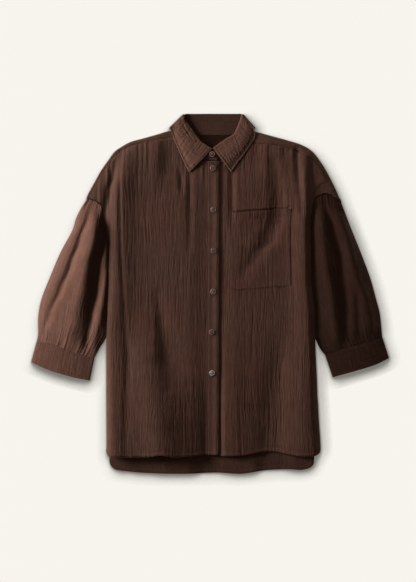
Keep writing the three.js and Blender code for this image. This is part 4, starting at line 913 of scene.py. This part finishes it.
def collar_pieces():
    along, across = 14, 12
    right_back = [(6, 5, 344), (-20, -24, 344.5), (-42, -54, 347), (-52, -73, 352.5)]
    left_back = [(32, 34, 344.5), (54, 64, 347), (65, 83, 352.5)]
    right_fall, right_stand = collar_sections(RIGHT_TURN, RIGHT_LEAF, right_back)
    left_fall, left_stand = collar_sections(LEFT_TURN, LEFT_LEAF, left_back)
    right_end, left_end = ([stand_row(row) for row in rows] for rows in (RIGHT_STAND_END, LEFT_STAND_END))
    fine = refine(np.array(right_fall[::-1] + left_fall), along, across)
    run, depth, uv = lengths(fine, -40)
    to_edge = depth[:, -1:] - depth
    to_end = np.minimum(run, run[-1] - run)
    n = normals(fine)
    if n[10, -20, 2] < 0:
        n = -n
    showing = ease((depth[:, -1:] * 0.97 - to_edge) / 20)
    border = np.minimum(to_edge, to_end * 0.85)
    # The leaf that faces the window needs a deeper crinkle to show as much of it
    deeper = mix(1.9, 1, ease((np.arange(len(fine)) - 80) / 40))[:, None]
    shape = deeper * (crinkle(run, depth, 111, 0.72) + crinkle(depth, run, 113, 0.50))
    shape = shape - 0.22 * np.exp(-((border - COLLAR_STITCH) / 0.7) ** 2) - 0.4 * ease((1.1 - border) / 1.1) \
        + 0.1 * ease((COLLAR_STITCH - border) / 3)
    fine = fine + n * (shape * showing)[..., None]
    # The fall behind the neck, from one turn to the other
    behind = lambda r, c: (r >= 8 * along) & (r < 20 * along)
    cloth_piece("collar", fine, SKIN, "collar", uv=uv, keep=lambda r, c: ~behind(r, c))
    cloth_piece("collar_back", fine, SKIN, uv=uv, keep=behind)
    fine = refine(np.array(right_end[::-1] + right_stand[::-1] + left_stand + left_end), 5, 7)
    run, depth, uv = lengths(fine, 3)
    fine = fine + normals(fine) * crinkle(depth, run, 121, 0.22)[..., None]
    cloth_piece("collar_stand", fine, BAND_SKIN, "collar_stand", uv=uv)


collar_pieces()


# Pocket and bands
def pocket_piece():
    u = np.linspace(*POCKET_SIDES, 122)
    v = graded([POCKET_FOOT, 0.70, 0.97, POCKET_MOUTH], [7, 75, 9])
    uu, vv = np.meshgrid(u, v)
    x, y = LEFT_PLAN(uu, vv)
    surface = grid_of(x, y, front_surface(x, y, LEFT_SEED))
    n = normals(surface)
    n = n * np.sign(n[..., 2:])
    border = np.minimum(np.minimum(x - x[:, :1], x[:, -1:] - x), y - y[:1])
    from_top = y[-1:] - y
    shape = 0.45 * crinkle(x, y, 131)
    shape = shape - 0.25 * np.exp(-((border - 2.0) / 0.8) ** 2) + 0.2 * ease((POCKET_HEM - from_top) / 2) \
        - 0.3 * np.exp(-((from_top - POCKET_HEM) / 0.9) ** 2)
    gape = 1.8 * ease((22 - from_top) / 22) * np.sin(np.pi * np.linspace(0, 1, len(u))) ** 0.5
    edge = 0.15 * ease(border / 3)
    grid = surface + n * (0.95 + np.clip(shape, -0.35, 2) + gape + edge)[..., None]
    cloth_piece("pocket", grid, 0.8, "pocket", material=WARM_CLOTH)


pocket_piece()


def band_height(y):
    return BAND_HEIGHT + 0.35 * np.sin(y / 31) * ease((250 - y) / 60)


def band_pieces():
    x = graded([BAND_LEFT, BAND_LEFT + 4, BAND_RIGHT - 4, BAND_RIGHT], [8, 21, 8])
    y = np.linspace(-345.5, BAND_TOP, 330)
    xx, yy = np.meshgrid(x, y)
    border = np.minimum(xx - BAND_LEFT, BAND_RIGHT - xx)
    ends = np.minimum(yy - y[0], y[-1] - yy)
    shape = crinkle(yy, xx, 141, 0.22) + crinkle(xx, yy, 143, 0.35) + hem_profile(ends) * 0.6 \
        - 0.62 * np.exp(-((border - BAND_STITCH) / 0.8) ** 2) - 0.4 * ease(1 - border)
    wobble = 0.5 * noise(145, xx / 200, yy / 40)
    tilt = 1.3 * ease((xx - 3) / 12) * ease((BAND_TOP - 12 - yy) / 30)
    grid = grid_of(xx + wobble, yy, band_height(yy) + shape + tilt)
    cloth_piece("button_band", grid, BAND_SKIN, "button_band")
    xx, yy = np.meshgrid(np.linspace(BAND_LEFT + 1.5, BAND_RIGHT, 4), np.linspace(-345, 284, 60))
    cloth_piece("under_band", grid_of(xx, yy, LOWEST_TOP), 1.0, "under_band")


band_pieces()


# Buttons
BUTTON_GAP = 0.3             # between a button's solid and its seat
HOLE_AT = 1.75               # from a button's middle to that of each hole


def circle(curve, cx, cy, radius, count):
    spline = curve.splines.new("POLY")
    spline.points.add(count - 1)
    for i in range(count):
        a = 2 * math.pi * i / count
        spline.points[i].co = (cx + radius * math.cos(a), cy + radius * math.sin(a), 0, 1)
    spline.use_cyclic_u = True


def button_mesh():
    """A disc with four holes and rounded edges."""
    curve = bpy.data.curves.new("button outline", "CURVE")
    curve.dimensions = "2D"
    circle(curve, 0, 0, 5.35 * MM, 56)
    for i in range(4):
        a = (i + 0.5) * math.pi / 2
        circle(curve, HOLE_AT * math.cos(a) * MM, HOLE_AT * math.sin(a) * MM, 0.85 * MM, 16)
    curve.extrude = 0.55 * MM
    curve.bevel_depth = 0.3 * MM
    curve.bevel_resolution = 3
    source = add_object("button outline", curve)
    bpy.context.view_layer.update()
    mesh = bpy.data.meshes.new_from_object(source)
    bpy.data.objects.remove(source)
    return mesh


def button_material(name, color):
    material, tree, shader = principled(name)
    coords = tree.nodes.new("ShaderNodeTexCoord")
    cloudy = noise_texture(tree, coords.outputs["Object"], 320)
    dark, light = [c * 0.75 for c in color], [min(1, c * 1.2) for c in color]
    feed(tree, shader, {"Base Color": two_tone(tree, cloudy, 0.35, dark, 0.65, light), "Roughness": 0.28,
                        "Coat Weight": 0.3})
    return material


BUTTON_COLOR = button_material("button plastic", (0.40, 0.265, 0.245))
LAST_COLOR = button_material("last button plastic", (0.75, 0.72, 0.70))


def cells_between(rings, sides, closed=False):
    """Corners of the cells between neighbouring rings of points, in order round each cell."""
    for i in range(rings if closed else rings - 1):
        here, there = i * sides, (i + 1) % rings * sides
        for j in range(sides):
            k = (j + 1) % sides
            yield here + j, here + k, there + k, there + j


def ring(radius, tube_radius, segments=48, sides=10):
    a = np.linspace(0, 2 * np.pi, segments, endpoint=False)
    b = np.linspace(0, 2 * np.pi, sides, endpoint=False)
    aa, bb = np.meshgrid(a, b, indexing="ij")
    out = radius + tube_radius * np.cos(bb)
    p = np.stack([out * np.cos(aa), out * np.sin(aa), tube_radius * np.sin(bb)], -1).reshape(-1, 3)
    return p, [(q, t, s, r) for q, r, s, t in cells_between(segments, sides, closed=True)]


def thread_bar(a, b, radius, rise, count=9, sides=8):
    """A short arched length of thread from a to b."""
    verts = []
    a, b = np.array(a, float), np.array(b, float)
    along = (b - a) / np.linalg.norm(b - a)
    up = np.array([0, 0, 1.0])
    side = np.cross(along, up)
    for t in np.arange(count) / (count - 1):
        centre = mix(a, b, t) + up * rise * math.sin(math.pi * t)
        for w in 2 * math.pi * np.arange(sides) / sides:
            verts.append(centre + side * radius * math.cos(w) + up * radius * math.sin(w))
    ends = [tuple(range(sides))[::-1], tuple((count - 1) * sides + j for j in range(sides))]
    return np.array(verts), list(cells_between(count, sides)) + ends


def object_from(name, parts, material):
    """One object from several lists of points and faces, in mm."""
    verts, faces, base = [], [], 0
    for p, f in parts:
        verts.append(np.asarray(p))
        faces += [tuple(base + k for k in face) for face in f]
        base += len(p)
    mesh = bpy.data.meshes.new(name)
    mesh.from_pydata((np.concatenate(verts) * MM).tolist(), [], faces)
    mesh.materials.append(material)
    mesh.polygons.foreach_set("use_smooth", np.ones(len(mesh.polygons), bool))
    return add_object(name, mesh)


def buttons():
    disc = button_mesh()
    disc.materials.append(BUTTON_COLOR)
    last = disc.copy()
    last.materials.clear()
    last.materials.append(LAST_COLOR)
    r = HOLE_AT * math.cos(math.pi / 4)
    for i, (x, y) in enumerate(BUTTONS):
        seat = (STAND_FRONT if y > BAND_TOP else float(band_height(np.array(y)))) + BAND / 2 + BUTTON_GAP
        mesh = last if i == len(BUTTONS) - 1 else disc
        button = add_object(f"button_{i + 1}", mesh)
        button.location = (x * MM, y * MM, (seat + 1.05) * MM)
        button.rotation_euler = (0, 0, 0.5 * i)
        piece(f"button_{i + 1}", button, f"button_{i + 1}", slot="button")
        rim = object_from(f"button_rim_{i + 1}", [ring(4.85, 0.42)], mesh.materials[0])
        rim.location = (x * MM, y * MM, (seat + 1.75) * MM)
        piece(f"button_rim_{i + 1}", rim, slot="button")
        cross = [thread_bar((-r, -r, 0), (r, r, 0), 0.36, 0.5), thread_bar((-r, r, 0), (r, -r, 0), 0.36, 0.7)]
        threads = object_from(f"button_thread_{i + 1}", cross, THREAD)
        threads.location = (x * MM, y * MM, (seat + 1.9) * MM)
        threads.rotation_euler = (0, 0, 0.5 * i)
        piece(f"button_thread_{i + 1}", threads)


buttons()


# Stitching
TACK_STEPS = (-1.2, -0.6, 0, 0.6, 1.2)


def on_cloth(target, x, y):
    """Height of a piece's upper side at a place, in mm, or None beside it."""
    hit, spot, _, _ = made[target].ray_cast((x * MM, y * MM, 0.1), (0, 0, -1))
    return spot.z / MM if hit else None


def stitches(name, target, paths, pitch=3.4, length=2.3, radius=0.24):
    """Short lengths of thread along paths, which dip into the cloth at both ends."""
    parts = []
    for path in paths:
        points = np.asarray(path, float)
        run = np.concatenate([[0], np.cumsum(np.linalg.norm(np.diff(points, axis=0), axis=1))])
        for start in np.arange(0.5, run[-1] - length, pitch):
            ends = [np.array([np.interp(start + d, run, points[:, k]) for k in (0, 1)]) for d in (0, length)]
            heights = [on_cloth(target, *end) for end in ends]
            if None in heights or abs(heights[0] - heights[1]) > 1.5:
                continue
            a, b = (np.array([*end, height - 0.12]) for end, height in zip(ends, heights))
            parts.append(thread_bar(a, b, radius, 0.25, count=4, sides=5))
    piece(name, object_from(name, parts, THREAD))


def moved(curve, distance, first=0.0, last=1.0, count=60):
    return curve.beside(np.linspace(first, last, count), np.full(count, float(distance)))


def leaf_path(rows, inset):
    """Along a leaf's outer edge and round its tip to the front."""
    edge, fold = (np.array([row[key] for row in rows], float) for key in ("edge", "roll"))
    way = (fold - edge) / np.linalg.norm(fold - edge, axis=1, keepdims=True)
    side = edge + way * inset
    back = (side[-2] - side[-1]) / np.linalg.norm(side[-2] - side[-1]) * inset
    tip = side[-1] + back
    return np.concatenate([side[:-1], [tip], [mix(tip, fold[-1] + back, 0.92)]])


def sewing():
    bpy.context.view_layer.update()
    edges = BAND_LEFT + BAND_STITCH, BAND_RIGHT - BAND_STITCH
    stitches("stitches_band", "button_band", [[(x, -342), (x, 281)] for x in edges])
    for label, seam, side in (("right", RIGHT_YOKE_SEAM, 1), ("left", LEFT_YOKE_SEAM, -1)):
        rows = [moved(Curve(seam), side * 2.5, 0.02), moved(Curve(seam), side * 7.0, 0.12)]
        stitches(f"stitches_yoke_{label}", "yoke", rows)
    for label, armhole, side in (("right", RIGHT_ARMHOLE, -1), ("left", LEFT_ARMHOLE, 1)):
        stitches(f"stitches_armhole_{label}", f"front_{label}", [moved(Curve(armhole), side * 2.5, 0.02, 0.98)])
    share = np.linspace(0.015, 0.985, 90)
    for label, plan in (("right", RIGHT_PLAN), ("left", LEFT_PLAN)):
        x, y = plan(share, np.zeros_like(share))
        stitches(f"stitches_hem_{label}", f"front_{label}", [np.column_stack([x, y + HEM_STITCH])])
    stitches("stitches_hem_back", "back", [moved(Curve(BACK_HEM), HEM_STITCH, 0.05, 0.95, 120)])
    stitches("stitches_collar", "collar", [leaf_path(leaf, COLLAR_STITCH) for leaf in (RIGHT_LEAF, LEFT_LEAF)])
    u, v = np.linspace(*POCKET_SIDES, 30), np.linspace(POCKET_FOOT, POCKET_MOUTH, 30)
    outer, inner = (np.column_stack(LEFT_PLAN(np.full(30, a), v)) for a in POCKET_SIDES)
    foot, mouth = (np.column_stack(LEFT_PLAN(u, np.full(30, b))) for b in (POCKET_FOOT, POCKET_MOUTH))
    rows = [outer - (2, 0), inner + (2, 0), (foot + (0, 2))[1:-1], (mouth - (0, POCKET_HEM))[1:-1]]
    stitches("stitches_pocket", "pocket", rows)
    corners = [outer[-1] + (-2.2, -1.5), inner[-1] + (2.2, -1.5)]
    tacks = [[corner + (k, -4.5 + 0.2 * (k != 0)), corner + (k, 0.5)] for corner in corners for k in TACK_STEPS]
    stitches("bartacks_pocket", "pocket", tacks, pitch=2.3, length=2.2, radius=0.3)
    for label, sleeve in (("right", RIGHT_SLEEVE), ("left", LEFT_SLEEVE)):
        seam, hem = Curve(sleeve["seam"]), Curve(sleeve["hem"])
        t = np.linspace(0.03, 0.97, 40)
        stitches(f"stitches_cuff_{label}", f"cuff_{label}", [mix(seam(t), hem(t), w) for w in (0.08, 0.93)])
    holes = []
    for x, y in BUTTONS[1:]:
        for edge in (-1.0, 1.0):
            for step in np.arange(-8.4, 8.5, 0.62):
                z = on_cloth("button_band", x + edge, y + step) + 0.05
                a, b = (x + edge * 0.35, y + step, z), (x + edge * 1.5, y + step, z)
                holes.append(thread_bar(a, b, 0.27, 0.12, 3, 5))
        for end in (-9.0, 9.0):
            for step in TACK_STEPS:
                z = on_cloth("button_band", x + step, y + end) + 0.1
                a, b = (x + step, y + end - 0.7, z), (x + step, y + end + 0.7, z)
                holes.append(thread_bar(a, b, 0.27, 0.12, 3, 5))
    piece("buttonholes", object_from("buttonholes", holes, THREAD))


sewing()


# Stage
def floor_shader():
    """A pale glowing floor with a painted shadow: it darkens close to the cloth, most below it and to its right."""
    material = bpy.data.materials.new("pale floor")
    material.use_nodes = True
    tree = material.node_tree
    tree.nodes.clear()
    # The painted shadow is worked out about a normal that leans left and back, so it falls most below the cloth and
    # to its right
    tilt = tree.nodes.new("ShaderNodeCombineXYZ")
    feed(tree, tilt, {0: -0.33, 1: 0.76, 2: 0.56})
    shade = tree.nodes.new("ShaderNodeAmbientOcclusion")
    shade.samples = 32
    feed(tree, shade, {"Distance": 0.028, "Normal": tilt.outputs[0]})
    painted_shadow = tree.nodes.new("ShaderNodeMix")
    painted_shadow.data_type = "RGBA"
    # Painted shadow: the ambient occlusion, raised to a power, darkens the floor's glow close to the cloth
    power = math_node(tree, "POWER", shade.outputs["AO"], 8)
    feed(tree, painted_shadow, {0: power, 6: (0.20, 0.19, 0.17, 1), 7: (0.930, 0.905, 0.847, 1)})
    glow = tree.nodes.new("ShaderNodeEmission")
    feed(tree, glow, {"Color": painted_shadow.outputs[2]})
    output = tree.nodes.new("ShaderNodeOutputMaterial")
    feed(tree, output, {"Surface": glow.outputs[0]})
    return material


floor_mesh = bpy.data.meshes.new("floor")
corners = [(x, y, -0.0003) for x, y in ((-4, -4), (4, -4), (4, 4), (-4, 4))]
floor_mesh.from_pydata(corners, [], [(0, 1, 2, 3)])
floor_mesh.materials.append(floor_shader())
add_object("floor", floor_mesh)


DAYLIGHT = (1.0, 0.97, 0.93)
WINDOW = (-2.4, 0.60)        # where the window lamps stand, in metres


def area_light(name, location, size, energy, color=DAYLIGHT):
    """A lamp that points at the middle of the shirt."""
    data = bpy.data.lights.new(name, "AREA")
    data.shape = "RECTANGLE"
    data.size, data.size_y = size
    data.energy = energy
    data.color = color
    light = add_object(name, data)
    light.location = location
    light.rotation_mode = "QUATERNION"
    light.rotation_quaternion = (Vector() - light.location).to_track_quat("-Z", "Y")
    light.visible_camera = False
    return light


def lit_by(light, names):
    """Lets a light reach only the named pieces."""
    group = bpy.data.collections.new(light.name + " reach")
    for name, obj in made.items():
        if name in names:
            group.objects.link(obj)
    light.light_linking.receiver_collection = group


# Groups of pieces with a window lamp of their own: the lamp's power and its height
GROUPS = {
    "right_arm": (["sleeve_right", "cuff_seam_right"], 158, 0.95),
    "right_cuff": (["cuff_right"], 128, 0.95),
    "left_arm": (["sleeve_left", "cuff_left", "cuff_seam_left"], 29, 0.80),
    "collar": (["collar"], 190, 0.56),
    "neck": (["collar_back", "collar_stand"], 84, 0.56),
    "inside": (["yoke_back"], 22, 0.56),
    "hem": (["back"], 82, 0.56),
}
taken = [name for names, _, _ in GROUPS.values() for name in names]
BODY = [name for name in made if name not in taken]
GROUPS["body"] = (BODY, 97, 0.56)
for label, (names, energy, height) in GROUPS.items():
    lit_by(area_light(f"window_{label}", (*WINDOW, height), (1.0, 0.5), energy), names)
lit_by(area_light("skylight", (0.0, 2.4, 0.62), (1.6, 0.5), 18), BODY)
area_light("ceiling", (0.0, 0.0, 3.6), (3.0, 3.0), 4.5, (1.0, 0.96, 0.90))

camera_data = bpy.data.cameras.new("camera")
camera_data.lens = 85
camera_data.sensor_width = 36
camera = add_object("camera", camera_data)
camera.location = (-0.0045, 0.006, 2.954)
bpy.context.scene.camera = camera

world = bpy.data.worlds.new("world")
world.use_nodes = True
feed(world.node_tree, world.node_tree.nodes["Background"], {"Color": (1.0, 0.86, 0.66, 1), "Strength": 0.045})
bpy.context.scene.world = world
bpy.context.scene.view_settings.view_transform = "Standard"
